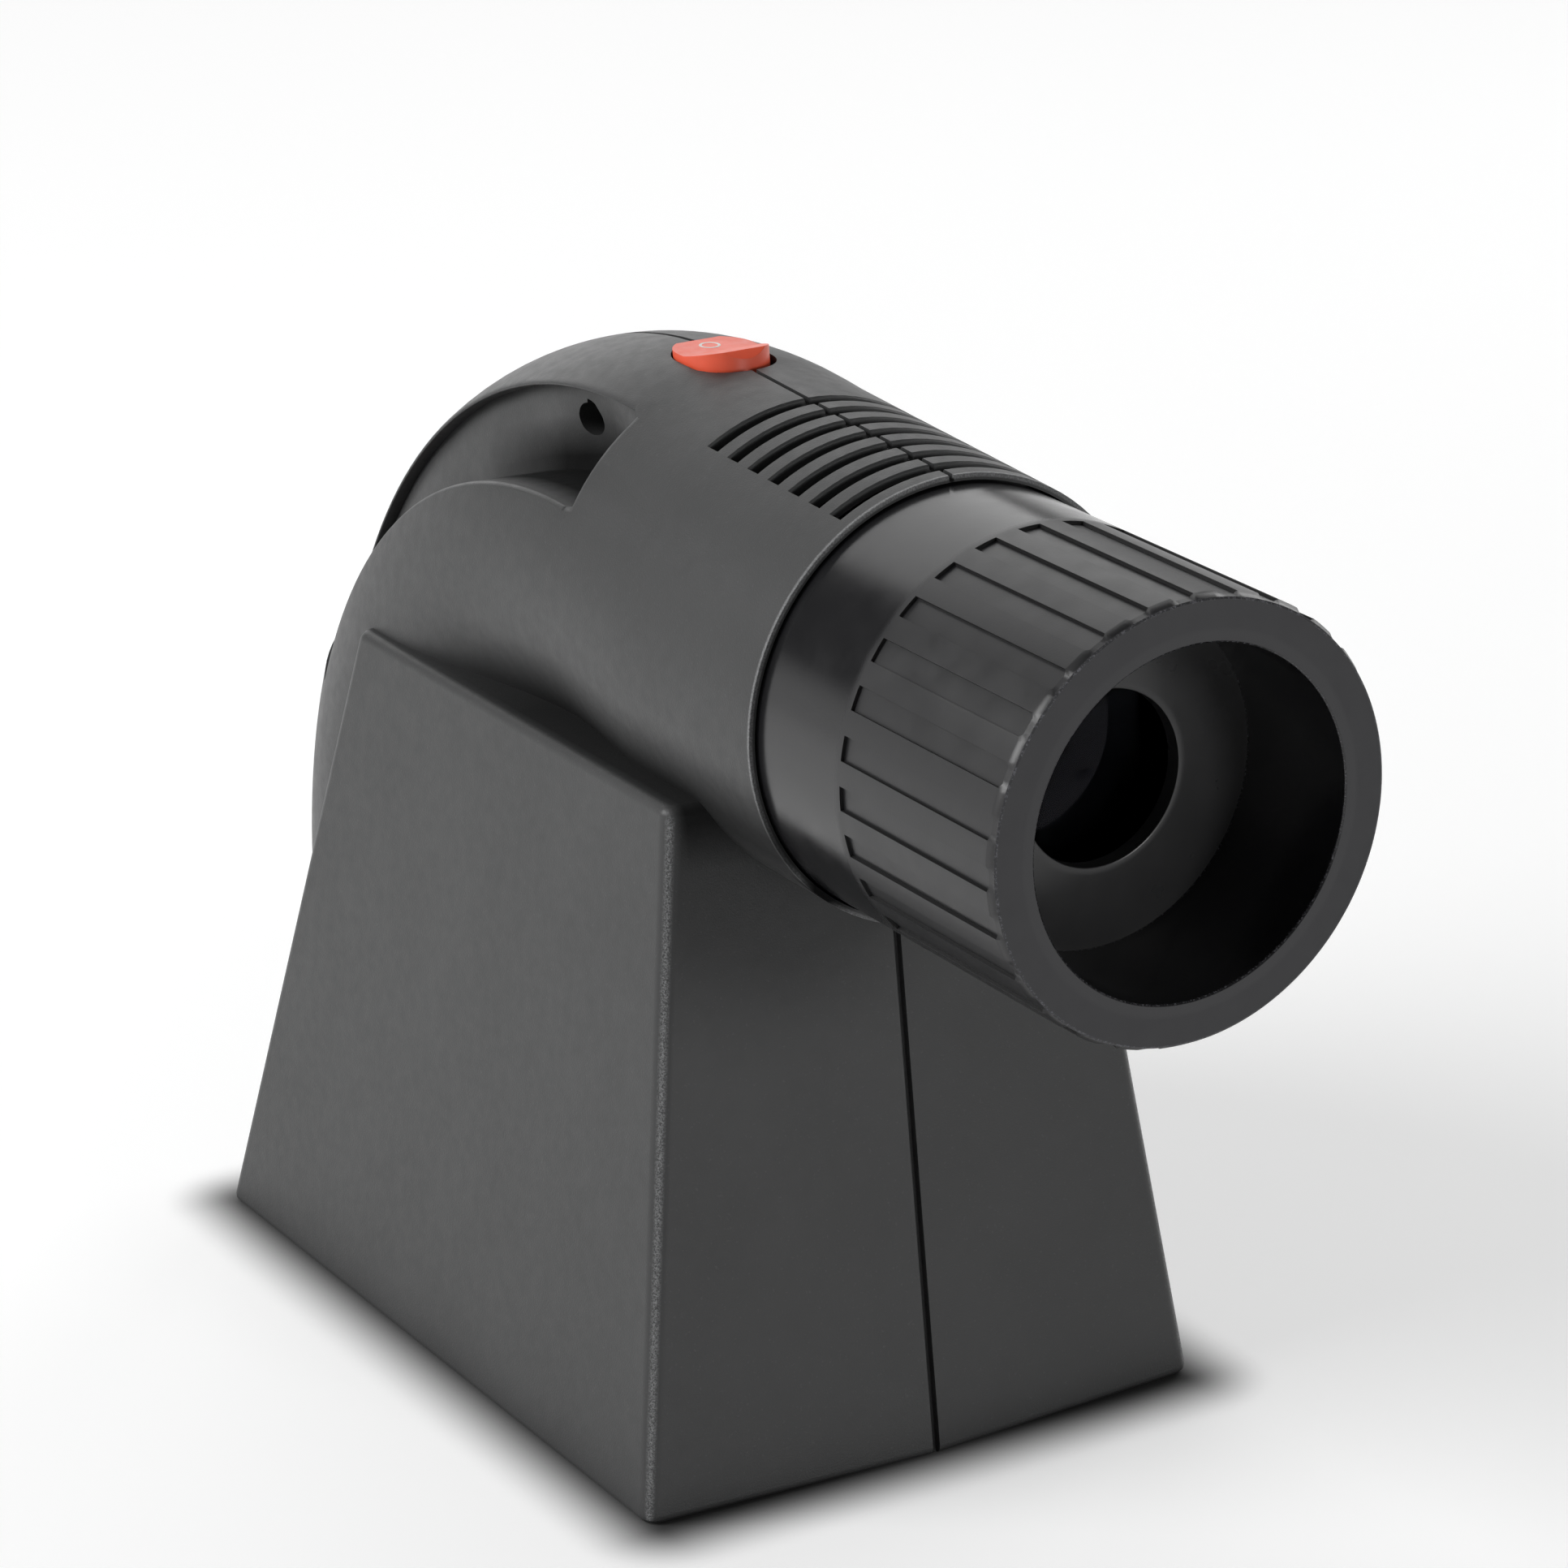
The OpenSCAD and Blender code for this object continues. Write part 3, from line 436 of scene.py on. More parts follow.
def run_head_out(sizes, inset):
    """Extrudes the bend's last ring along the head's slope, to just past the collar.

    Each ring is a little wider, until the section is the collar's.
    """
    widen, lift, steps = 30 * MM, 0.4 * MM, 12
    radius = sizes.head_r - inset
    here = bend_point(sizes, QUARTER + sizes.head_tilt, sizes.bend_r)
    start_y, wide, tall = here.y, radius, radius
    reach = start_y - sizes.collar_y
    low_start = bend_point(sizes, QUARTER, sizes.bend_r).z - sizes.head_r + inset + lift
    low_end = sizes.axis_h - sizes.collar_r + inset
    for i in range(1, steps + 2):
        y = start_y - reach * i / steps
        share = min(1.0, reach * i / steps / widen)
        top = head_top(sizes, y) - inset
        low = low_start + (low_end - low_start) * share
        new_wide = radius + (sizes.collar_r - sizes.head_r) * share
        new_tall = (top - low) / 2
        middle = Vector((0, y, (top + low) / 2))
        bpy.ops.mesh.extrude_region_move(TRANSFORM_OT_translate={"value": middle - here})
        bpy.ops.transform.resize(value=(new_wide / wide, 1, new_tall / tall),
                                 center_override=middle)
        here, wide, tall = middle, new_wide, new_tall


def grip_place(sizes, point):
    """Angle and radius in the bend of a point."""
    y, z = point.y - sizes.bend_y, point.z - sizes.bend_z
    return math.atan2(z, y), math.hypot(y, z)


def sink_grip(sizes, obj, side):
    """Pushes the finger hollow into one side of the round back and rounds its lips."""
    squeeze, base = 0.46, 18.0 * MM       # the floor is flatter than the head's side
    spot_r, pull_r, sag = 3.2 * MM, 24 * MM, 0.1

    def inside(centre):
        turn, radius = grip_place(sizes, centre)
        return (centre.x * side > 0 and GRIP_REAR < turn < GRIP_FRONT
                and GRIP_IN - 0.9 * MM < radius < GRIP_OUT + 0.2 * MM)

    with editing(obj):
        pick(obj, "FACE", inside)
        bpy.ops.mesh.extrude_region_move(TRANSFORM_OT_translate={"value": (0, 0, 0)})
        bpy.ops.transform.resize(value=(squeeze, 1, 1), center_override=(side * base, 0, 0))
        # the floor is drawn in and a little down behind the lower lip, most at the front
        bpy.ops.mesh.hide(unselected=True)
        for degrees, deep in GRIP_PULLS:
            turn = math.radians(degrees)
            spot = bend_point(sizes, turn, GRIP_IN)
            pick(obj, "VERT", lambda c: (Vector((0, c.y, c.z)) - spot).length < spot_r)
            drop = sag * deep * MM
            bpy.ops.transform.translate(
                value=(-side * deep * MM, -drop * math.cos(turn), -drop * math.sin(turn)),
                use_proportional_edit=True, proportional_edit_falloff="SMOOTH",
                proportional_size=pull_r)
        bpy.ops.mesh.reveal(select=False)
    soften_lips(sizes, obj, side)


def soften_lips(sizes, obj, side):
    """Rounds the outer lip, the front end and the inner lip of a grip hollow."""
    outer_lip, inner_lip = 139.1 * MM, 120.8 * MM

    def near(a, b, lip):
        return all(abs(grip_place(sizes, p)[1] - lip) < 1.0 * MM for p in (a, b))

    def surface(point):
        radius = grip_place(sizes, point)[1]
        return abs(math.hypot(point.x, radius - sizes.bend_r) - sizes.head_r) < 0.2 * MM

    def spans(a, b):
        turns = [grip_place(sizes, p)[0] for p in (a, b)]
        return (a.x * side > 0 and b.x * side > 0 and min(turns) > GRIP_REAR - 0.03
                and max(turns) < GRIP_FRONT + 0.02 and surface(a) and surface(b))

    def at_front(a, b):
        turns, radii = zip(grip_place(sizes, a), grip_place(sizes, b))
        return (min(turns) > GRIP_FRONT - 0.02 and min(radii) > GRIP_IN - 2 * MM
                and max(radii) < GRIP_OUT + 2 * MM)

    round_edges(obj, lambda a, b: spans(a, b) and (near(a, b, outer_lip) or at_front(a, b)),
                sizes.lip_r, 5)
    round_edges(obj, lambda a, b: spans(a, b) and near(a, b, inner_lip), 1.0 * MM, 3)


def grip_cutter(sizes, side, grow):
    """The hollow of one grip, grown, to keep its wall when the inside is cut."""
    def at(radius, x):
        return bend_point(sizes, GRIP_REAR - grow / GRIP_OUT, radius, side * x)

    out = 80 * MM
    points = [at(GRIP_IN - grow, out), at(GRIP_IN - grow, FLOOR_IN - grow),
              at(GRIP_OUT + grow, FLOOR_OUT - grow), at(GRIP_OUT + grow, out)]
    return swept(points, bend_point(sizes, 0, 0), (-1, 0, 0),
                 GRIP_FRONT - GRIP_REAR + 2 * grow / GRIP_OUT, 24)


def vent_cutters(sizes):
    """One slot with a softly flared mouth at each place along the head."""
    half, turn = sizes.vent_w / 2, sizes.vent_half
    cutters = []
    for i in range(sizes.vent_count):
        y = sizes.collar_y + sizes.vent_start + i * sizes.vent_pitch
        top = head_top(sizes, y)
        low = sizes.axis_h - sizes.collar_r
        radius, height = (top - low) / 2 + 0.013 * MM, (top + low) / 2
        # (radius, half width) up through the wall
        profile = [(radius - 6 * MM, half), (radius - 0.75 * MM, half),
                   (radius - 0.25 * MM, half + 0.14 * MM), (radius + 0.06 * MM, half + 0.55 * MM),
                   (radius + 3 * MM, half + 3 * MM)]
        ring = [(r, y + w) for r, w in profile] + [(r, y - w) for r, w in reversed(profile)]
        points = [(-r * math.sin(turn), yy, height + r * math.cos(turn)) for r, yy in ring]
        cutter = swept(points, (0, y, height), (0, -1, 0), 2 * turn, 25)
        with editing(cutter, True):
            bpy.ops.transform.resize(value=(sizes.collar_r / radius, 1, 1),
                                     center_override=(0, y, height))
        cutters.append(cutter)
    return cutters


def seam_cutters(sizes):
    """Shallow channel along the seam: over the head, round the back and down the front."""
    half, deep, over = sizes.seam_w / 2, sizes.seam_deep, 4 * MM
    start, end = sizes.collar_y - over, sizes.bend_y + 6 * MM
    head = prism([(-half, start, head_top(sizes, start) - deep),
                  (-half, end, head_top(sizes, end) - deep),
                  (-half, end, head_top(sizes, end) + over),
                  (-half, start, head_top(sizes, start) + over)], (2 * half, 0, 0))
    outer = sizes.bend_r + sizes.head_r
    low_turn, high_turn = math.radians(-33), math.radians(92)
    corners = ((-deep, -half), (over, -half), (over, half), (-deep, half))
    back = swept([bend_point(sizes, low_turn, outer + out, x) for out, x in corners],
                 bend_point(sizes, 0, 0), (-1, 0, 0), high_turn - low_turn, 62)
    low, top = -1 * MM, sizes.base_h - 1 * MM
    lean = math.tan(sizes.front_lean)
    near, far, broad = sizes.base_front - over, sizes.base_front + 1.3 * deep, 1.5 * half
    front = prism([(-broad, far, low), (-broad, near, low), (-broad, near + top * lean, top),
                   (-broad, far + top * lean, top)], (2 * broad, 0, 0))
    return [head, back, front]


def rocker_opening(sizes):
    """An oval column, longer along Y, through the crown."""
    return oval(sizes.rocker_w / 2, (sizes.rocker_l - sizes.rocker_w) / 2, 30 * MM,
                (0, sizes.rocker_y, sizes.crown_h), 64, "opening")


def strap_hole(sizes, side):
    """A round hole through a grip's floor, a little pointed at its top."""
    place = bend_point(sizes, STRAP_TURN, STRAP_R, side * 25 * MM)
    obj = rod(3.7 * MM, 30 * MM, place, (0, QUARTER, 0), 40, "hole")
    tip = bend_point(sizes, math.radians(81.6), 136.0 * MM)
    move(obj, lambda c: (Vector((0, c.y, c.z)) - tip).length < 2.6 * MM,
         (0, 0.4 * MM, 0.9 * MM))
    return obj


def housing_solid(sizes):
    """Both halves as one hollow body: outside, less inside, less every opening.

    A post between the grips closes the bottoms of the two strap holes.
    """
    body = base_solid(sizes, 0, 0, sizes.base_h)
    trim_base(sizes, body)
    combine(body, tube_solid(sizes, 0, True), "UNION")

    inside = base_solid(sizes, sizes.wall, -5 * MM, sizes.base_h - sizes.wall)
    combine(inside, tube_solid(sizes, sizes.wall, False), "UNION")
    for side in (-1, 1):
        combine(inside, grip_cutter(sizes, side, sizes.wall), "DIFFERENCE")
    post = rod(6 * MM, 60 * MM, bend_point(sizes, STRAP_TURN, STRAP_R), (0, QUARTER, 0), 44,
               "post")
    combine(inside, post, "DIFFERENCE")
    well_ahead, well_l = 35 * MM, 90 * MM
    well = rod(sizes.well_r, well_l, (0, sizes.collar_y - well_ahead + well_l / 2, sizes.axis_h),
               (QUARTER, 0, 0), 106, "well")
    combine(inside, well, "UNION")
    combine(body, inside, "DIFFERENCE")

    for cutter in vent_cutters(sizes) + seam_cutters(sizes):
        combine(body, cutter, "DIFFERENCE")
    combine(body, rocker_opening(sizes), "DIFFERENCE")
    for side in (-1, 1):
        combine(body, strap_hole(sizes, side), "DIFFERENCE")
    combine(body, block((-FAR, -FAR, -FAR), (FAR, FAR, 0), "table"), "DIFFERENCE")
    return body


class PROJECTOR_OT_housing(Operator):
    """Models both halves of the housing and seats them on the frame"""
    bl_idname = "projector.housing"
    bl_label = "Housing"

    def execute(self, context):
        sizes = context.scene.projector_sizes
        colours = context.scene.projector_colours
        body = housing_solid(sizes)
        twin = copy_of(body)
        gap = sizes.seam_gap / 2
        combine(body, block((-gap, -FAR, -FAR), (FAR, FAR, FAR)), "DIFFERENCE")
        combine(twin, block((-FAR, -FAR, -FAR), (gap, FAR, FAR)), "DIFFERENCE")
        # the socket's hole is in the right half only
        socket = rod(5.6 * MM, 30 * MM, socket_place(), (sizes.rear_lean - QUARTER, 0, 0),
                     40, "socket")
        combine(twin, socket, "DIFFERENCE")
        finish = shell_plastic(colours.shell)
        for half, name in ((body, "left_half"), (twin, "right_half")):
            dress(half, name, finish, 32.0)
            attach(half, "housing")
        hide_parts("left_shell")
        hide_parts("right_shell")
        return {"FINISHED"}


def socket_place():
    """Where the power socket comes through the rear wall."""
    low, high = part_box("power_jack")
    return Vector(((low.x + high.x) / 2, high.y - 8 * MM, (low.z + high.z) / 2 - 2 * MM))


# ------------------------------------------------------------------ barrel and stop

SECTORS = 6                 # faces across one groove, and across one rib
BARREL_WALL = 3.8 * MM
LENS_TURN = Matrix.Rotation(QUARTER, 4, "X")        # turns Z forward along the lens axis


def lens_place(sizes):
    """Where the lens axis comes out of the collar."""
    return Vector((0, sizes.collar_y, sizes.axis_h))


def fluted_barrel(sizes):
    """The barrel: a lathed ring whose grip grooves are pushed in between the ribs."""
    r, out = sizes.barrel_r, sizes.barrel_out
    soft, lip = 0.5 * MM, 0.35 * MM
    start, end = out - sizes.groove_l, out - sizes.rib_taper
    stop = out - sizes.bore_deep
    floor_r = r - sizes.groove_deep
    stations = [(r - BARREL_WALL, -sizes.barrel_in), (r - soft, -sizes.barrel_in),
                (r, -sizes.barrel_in + soft), (r, 0.0), (r, start - 1.2 * MM), (r, start),
                (r, end), (floor_r - 0.1 * MM, out - 0.25 * MM),
                (floor_r - 0.5 * MM, out), (sizes.bore_r + lip, out),
                (sizes.bore_r, out - lip), (sizes.bore_r - 0.5 * MM, stop),
                (sizes.bore_r + 2.2 * MM, stop), (sizes.bore_r + 2.2 * MM, out - 3 * MM),
                (r - BARREL_WALL, out - 3 * MM)]
    place = lens_place(sizes)
    half_pitch = 180 / sizes.groove_count
    first = math.degrees(sizes.groove_turn)
    begin = math.radians(first - half_pitch / 2)
    obj = lathe(stations, place, LENS_TURN, sizes.groove_count * 2 * SECTORS, begin, "barrel")

    def measured(point):
        """Degrees past a groove's near wall, distance from the collar and from the axis."""
        up = point.z - sizes.axis_h
        turn = math.degrees(math.atan2(up, point.x)) % 360
        return ((turn - first + half_pitch / 2) % (2 * half_pitch),
                sizes.collar_y - point.y, math.hypot(point.x, up))

    def in_groove(centre):
        turn, ahead, away = measured(centre)
        return turn < half_pitch and start < ahead < end and away > r - 0.5 * MM

    def at_mouth(corner):
        turn, ahead, away = measured(corner)
        step = half_pitch / SECTORS
        return (0.5 * step < turn < half_pitch - 0.5 * step
                and abs(ahead - end) < 0.02 * MM and away > r - 0.05 * MM)

    def squeeze(k):
        bpy.ops.transform.resize(value=(k, 1, k), center_override=place)

    with editing(obj):
        pick(obj, "FACE", in_groove)
        bpy.ops.mesh.extrude_region_move(TRANSFORM_OT_translate={"value": (0, 0, 0)})
        squeeze(floor_r / r)
    # the low front walls go, so that the groove floors run on to the rim
    with editing(obj):
        if pick(obj, "VERT", at_mouth):
            squeeze((floor_r + 0.02 * MM) / r)
    return obj


class PROJECTOR_OT_barrel(Operator):
    """Models the fluted focusing barrel"""
    bl_idname = "projector.barrel"
    bl_label = "Focusing barrel"

    def execute(self, context):
        sizes = context.scene.projector_sizes
        colours = context.scene.projector_colours
        obj = fluted_barrel(sizes)
        apply_modifier(obj, "BEVEL", width=0.22 * MM, segments=2, limit_method="ANGLE",
                       angle_limit=math.radians(48), use_clamp_overlap=True)
        dress(obj, "fluted_barrel", barrel_plastic(colours.barrel), 30.0)
        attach(obj, "barrel")
        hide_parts("focus_barrel")
        return {"FINISHED"}


class PROJECTOR_OT_stop(Operator):
    """Models the slightly dished aperture stop at the bottom of the bore"""
    bl_idname = "projector.stop"
    bl_label = "Aperture stop"

    def execute(self, context):
        sizes = context.scene.projector_sizes
        stop = sizes.barrel_out - sizes.bore_deep
        under = stop - 2.5 * MM
        rim = sizes.barrel_r - BARREL_WALL
        stations = [(rim, under), (rim, stop - 0.02 * MM), (sizes.bore_r - 1.2 * MM, stop),
                    (sizes.bore_r - 2.2 * MM, stop + 0.5 * MM),
                    (sizes.stop_r + 1.6 * MM, stop + 1.35 * MM),
                    (sizes.stop_r + 0.25 * MM, stop + 1.3 * MM),
                    (sizes.stop_r, stop + 1.1 * MM), (sizes.stop_r, under)]
        obj = lathe(stations, lens_place(sizes), LENS_TURN, 120, 0.0, "stop")
        dress(obj, "dished_stop", stop_plastic(), 40.0)
        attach(obj, "barrel")
        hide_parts("aperture_stop")
        return {"FINISHED"}


# ------------------------------------------------------------------ rocker

PIVOT_DEEP = 9.5 * MM       # pin under the crown
RAISED = 12.1 * MM          # raised end over the pin
EDGE_HIGH = 9.2 * MM        # where the ends pass the opening, over the pin


def rocker_solid(sizes):
    """An oval button with a dished top, pivoted under the crown."""
    pivot = Vector((0, sizes.rocker_y, sizes.crown_h - PIVOT_DEEP))
    tilt = sizes.rocker_tilt
    reach = (sizes.rocker_l / 2 - 0.15 * MM - PIVOT_DEEP * math.sin(tilt)) / math.cos(tilt)
    radius = sizes.rocker_w / 2 - 0.7 * MM
    obj = oval(radius, reach - radius, 20 * MM, pivot + Vector((0, 0, 7 * MM)), 72, "rocker")
    sweep = math.hypot(reach, EDGE_HIGH)
    combine(obj, rod(sweep, 60 * MM, pivot, (0, QUARTER, 0), 160, "drum"), "INTERSECT")
    # two slopes fall from the ends' corners to the middle
    corner = math.acos(RAISED / sweep) + tilt
    middle = sweep * (math.cos(corner) - math.sin(corner) * math.tan(tilt))
    far = 40 * MM
    edge = far * math.tan(tilt)
    wedge = prism([(-far / 2, pivot.y - far, pivot.z + middle + edge),
                   (-far / 2, pivot.y, pivot.z + middle),
                   (-far / 2, pivot.y + far, pivot.z + middle + edge),
                   (-far / 2, pivot.y, pivot.z + middle + far)], (far, 0, 0))
    combine(obj, wedge, "DIFFERENCE")
    return obj, pivot, middle


class PROJECTOR_OT_rocker(Operator):
    """Models the rocker switch and its printed mark"""
    bl_idname = "projector.rocker"
    bl_label = "Rocker"

    def execute(self, context):
        sizes = context.scene.projector_sizes
        colours = context.scene.projector_colours
        obj, pivot, middle = rocker_solid(sizes)
        apply_modifier(obj, "BEVEL", width=0.55 * MM, segments=4, limit_method="ANGLE",
                       angle_limit=math.radians(30), use_clamp_overlap=True)
        mark = off_mark(sizes, pivot, middle)
        spin = (Matrix.Translation(pivot) @ Matrix.Rotation(-sizes.rocker_tilt, 4, "X")
                @ Matrix.Translation(-pivot))
        for piece in (obj, mark):
            piece.matrix_world = spin @ piece.matrix_world
        dress(obj, "rocker_button", rocker_plastic(colours.rocker), 30.0)
        dress(mark, "rocker_mark", print_white(colours.mark), 40.0)
        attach(obj, "rocker")
        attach(mark, "rocker")
        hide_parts("rocker")
        return {"FINISHED"}


def off_mark(sizes, pivot, middle):
    """The ring of the off side, printed on the rear slope of the rocker's top."""
    inner, outer, out = 1.75 * MM, 2.35 * MM, 4.6 * MM
    start_fresh()
    bpy.ops.mesh.primitive_circle_add(vertices=48, radius=outer, fill_type="NGON")
    with editing(bpy.context.object, True) as obj:
        bpy.ops.mesh.inset(thickness=outer - inner)
        bpy.ops.mesh.delete(type="FACE")
        bpy.ops.mesh.select_all(action="SELECT")
        bpy.ops.mesh.extrude_region_move(TRANSFORM_OT_translate={"value": (0, 0, 0.05 * MM)})
    outward(obj)
    high = middle + out * math.tan(sizes.rocker_tilt) - 0.01 * MM
    obj.matrix_world = (Matrix.Translation(pivot + Vector((0, out, high)))
                        @ Matrix.Rotation(sizes.rocker_tilt, 4, "X"))
    activate(obj)
    return settled("mark")


# ------------------------------------------------------------------ finishes

class Finish:
    """A material being built from nodes, read in object coordinates.

    A share is a number from 0 to 1 that says how much of a layer shows at a place.
    """

    def __init__(self, name):
        self.material = bpy.data.materials.new(name)
        self.material.use_nodes = True
        self.tree = self.material.node_tree
        self.shader = self.tree.nodes["Principled BSDF"]
        self.place = self.tree.nodes.new("ShaderNodeTexCoord").outputs["Object"]

    def put(self, value, socket):
        """Gives a socket another node's output, a colour or a plain number."""
        if hasattr(value, "is_output"):
            self.tree.links.new(value, socket)
        elif socket.type == "RGBA":
            socket.default_value = (*value, 1.0)
        else:
            socket.default_value = value

    def finished(self, **values):
        """Sets or links the shader's own sockets, and gives the material."""
        for key, value in values.items():
            self.put(value, self.shader.inputs[key.replace("_", " ")])
        return self.material

    def node(self, kind, **inputs):
        made = self.tree.nodes.new(kind)
        for key, value in inputs.items():
            self.put(value, made.inputs[key])
        return made

    def axes(self):
        return self.node("ShaderNodeSeparateXYZ", Vector=self.place).outputs[0:3]

    def math(self, operation, a, b=0.0):
        made = self.tree.nodes.new("ShaderNodeMath")
        made.operation = operation
        self.put(a, made.inputs[0])
        self.put(b, made.inputs[1])
        return made.outputs[0]

    def times(self, first, *others):
        """The product of all."""
        for other in others:
            first = self.math("MULTIPLY", first, other)
        return first

    def most(self, first, *others):
        """The largest of all."""
        for other in others:
            first = self.math("MAXIMUM", first, other)
        return first

    def across(self, a, b):
        """The distance that two legs at right angles span."""
        return self.math("SQRT", self.math("ADD", self.times(a, a), self.times(b, b)))

    def spread(self, value, from_low, from_high, low, high, kind="LINEAR"):
        made = self.node("ShaderNodeMapRange", Value=value)
        made.interpolation_type = kind
        for key, number in (("From Min", from_low), ("From Max", from_high),
                            ("To Min", low), ("To Max", high)):
            made.inputs[key].default_value = number
        return made.outputs[0]

    def rise(self, value, low, high):
        """A share that grows from low to high."""
        return self.spread(value, low, high, 0.0, 1.0)

    def fall(self, value, low, high):
        """A share that fades from low to high."""
        return self.spread(value, low, high, 1.0, 0.0)

    def band(self, value, middle, inner, outer, share=1.0):
        """A share on both sides of a middle: full up to inner, gone at outer."""
        apart = self.math("ABSOLUTE", self.math("SUBTRACT", value, middle))
        return self.spread(apart, inner, outer, share, 0.0)

    def noise(self, scale, detail=2.0, rough=0.5, stretch=None):
        """Noise from 0 to 1, its scale in waves per metre."""
        where = self.place
        if stretch is not None:
            where = self.node("ShaderNodeMapping", Vector=where, Scale=stretch).outputs[0]
        return self.node("ShaderNodeTexNoise", Vector=where, Scale=scale, Detail=detail,
                         Roughness=rough).outputs["Fac"]

    def uneven(self, noise, low, high):
        """A number that follows the middle of a noise from low to high."""
        return self.spread(noise, 0.3, 0.7, low, high)

    def blend(self, share, first, second):
        """Mixes two colours."""
        made = self.tree.nodes.new("ShaderNodeMix")
        made.data_type = "RGBA"
        for index, value in ((0, share), (6, first), (7, second)):
            self.put(value, made.inputs[index])
        return made.outputs[2]

    def clouds(self, scale, colour, dark, light, rough=0.5):
        """A colour in soft clouds, between two factors."""
        share = self.uneven(self.noise(scale, 3.0, rough), 0.0, 1.0)
        return self.blend(share, shade(colour, dark), shade(colour, light))

    def layers(self, tone, colour, *layers):
        """Lays a colour over a tone again and again: pairs of a share and a factor."""
        for share, factor in layers:
            tone = self.blend(share, tone, shade(colour, factor))
        return tone

    def bump(self, height, distance, strength):
        return self.node("ShaderNodeBump", Height=height, Strength=strength,
                         Distance=distance).outputs[0]


def shade(colour, factor):
    return tuple(min(1.0, channel * factor) for channel in colour)


def shell_plastic(colour):
    """Spark-eroded moulded plastic: fine matt grain, worn edges with painted highlight, painted
    shade in hollows.
    """
    sizes = bpy.context.scene.projector_sizes
    f = Finish("shell_plastic")
    x, y, z = f.axes()
    fleck = f.spread(f.noise(1500.0, 1.0), 0.66, 0.78, 0.0, 0.45)
    scuff = f.rise(f.noise(2600.0, 3.0, 0.7), 0.40, 0.66)
    rim = collar_rim(f, sizes, x, y, z)
    # wear and painted highlight: a speckled lighter line on the front upright edges and the
    # collar's lip
    worn = f.times(f.most(upright_edges(f, sizes, x, y, z), rim), scuff)
    seam = f.band(x, 0.0, sizes.seam_w / 2 - 0.06 * MM, sizes.seam_w / 2 - 0.02 * MM)
    # painted shade: darker, duller and less shiny in the grip hollows and the valley under the
    # head
    painted_shade = f.most(grip_painted_shade(f, sizes, x, y, z), valley_painted_shade(f, sizes, x, y, z))
    # painted highlight: the rim layer lightens the whole collar's lip
    tone = f.layers(f.clouds(38.0, colour, 0.92, 1.08, 0.55), colour,
                    (fleck, 1.9), (f.times(rim, 0.6), 4.5), (f.times(worn, 0.9), 7.0),
                    (seam, 0.12), (painted_shade, 0.16))
    rough = f.math("ADD", f.uneven(f.noise(300.0, 3.0), 0.40, 0.48), f.times(painted_shade, 0.4))
    return f.finished(Base_Color=tone, Roughness=rough, IOR=1.46,
                      Specular_IOR_Level=f.spread(painted_shade, 0.0, 1.0, 0.5, 0.12),
                      Normal=f.bump(f.noise(2600.0, 2.0, 0.6), 0.00012, 0.5))


def upright_edges(f, sizes, x, y, z):
    """Share of the base's upright front edges."""
    side = f.math("ADD", f.math("ABSOLUTE", x), f.times(z, math.tan(sizes.side_lean)))
    ahead = f.math("SUBTRACT", y, f.times(z, math.tan(sizes.front_lean)))
    edge_side, edge_front = sizes.base_w / 2, sizes.base_front + sizes.front_draft
    return f.times(f.rise(side, edge_side - 2.1 * MM, edge_side - 1.2 * MM),
                   f.fall(ahead, edge_front + 1.1 * MM, edge_front + 2.0 * MM),
                   f.fall(z, sizes.base_h - 3 * MM, sizes.base_h - 1 * MM))


def collar_rim(f, sizes, x, y, z):
    """Share of the rounded lip round the collar's mouth."""
    out = f.across(x, f.math("SUBTRACT", z, sizes.axis_h))
    return f.times(f.fall(y, sizes.collar_y + 0.45 * MM, sizes.collar_y + 0.85 * MM),
                   f.rise(out, sizes.collar_r - 1.0 * MM, sizes.collar_r - 0.6 * MM))


def grip_painted_shade(f, sizes, x, y, z):
    """Share of the painted shade, dull and dark, at the bottom of a grip's front end."""
    ahead = f.math("SUBTRACT", y, sizes.bend_y)
    up = f.math("SUBTRACT", z, sizes.bend_z)
    radius = f.across(ahead, up)
    turn = f.math("ARCTAN2", up, ahead)
    return f.times(f.rise(radius, 106 * MM, 108 * MM), f.fall(radius, 123 * MM, 132 * MM),
                   f.rise(turn, math.radians(58), math.radians(76)),
                   f.band(x, 0.0, 33 * MM, 40 * MM))


def valley_painted_shade(f, sizes, x, y, z):
    """Share of the painted shade, dull and dark, in the valley between the head and the panels'
    upper edges.
    """
    return f.times(f.band(x, 0.0, 46.0 * MM, 49.0 * MM, 0.75),
                   f.fall(y, 20 * MM, 75 * MM),
                   f.rise(z, sizes.base_h - 14 * MM, sizes.base_h - 4 * MM),
                   f.fall(z, sizes.base_h + 1 * MM, sizes.base_h + 16 * MM))


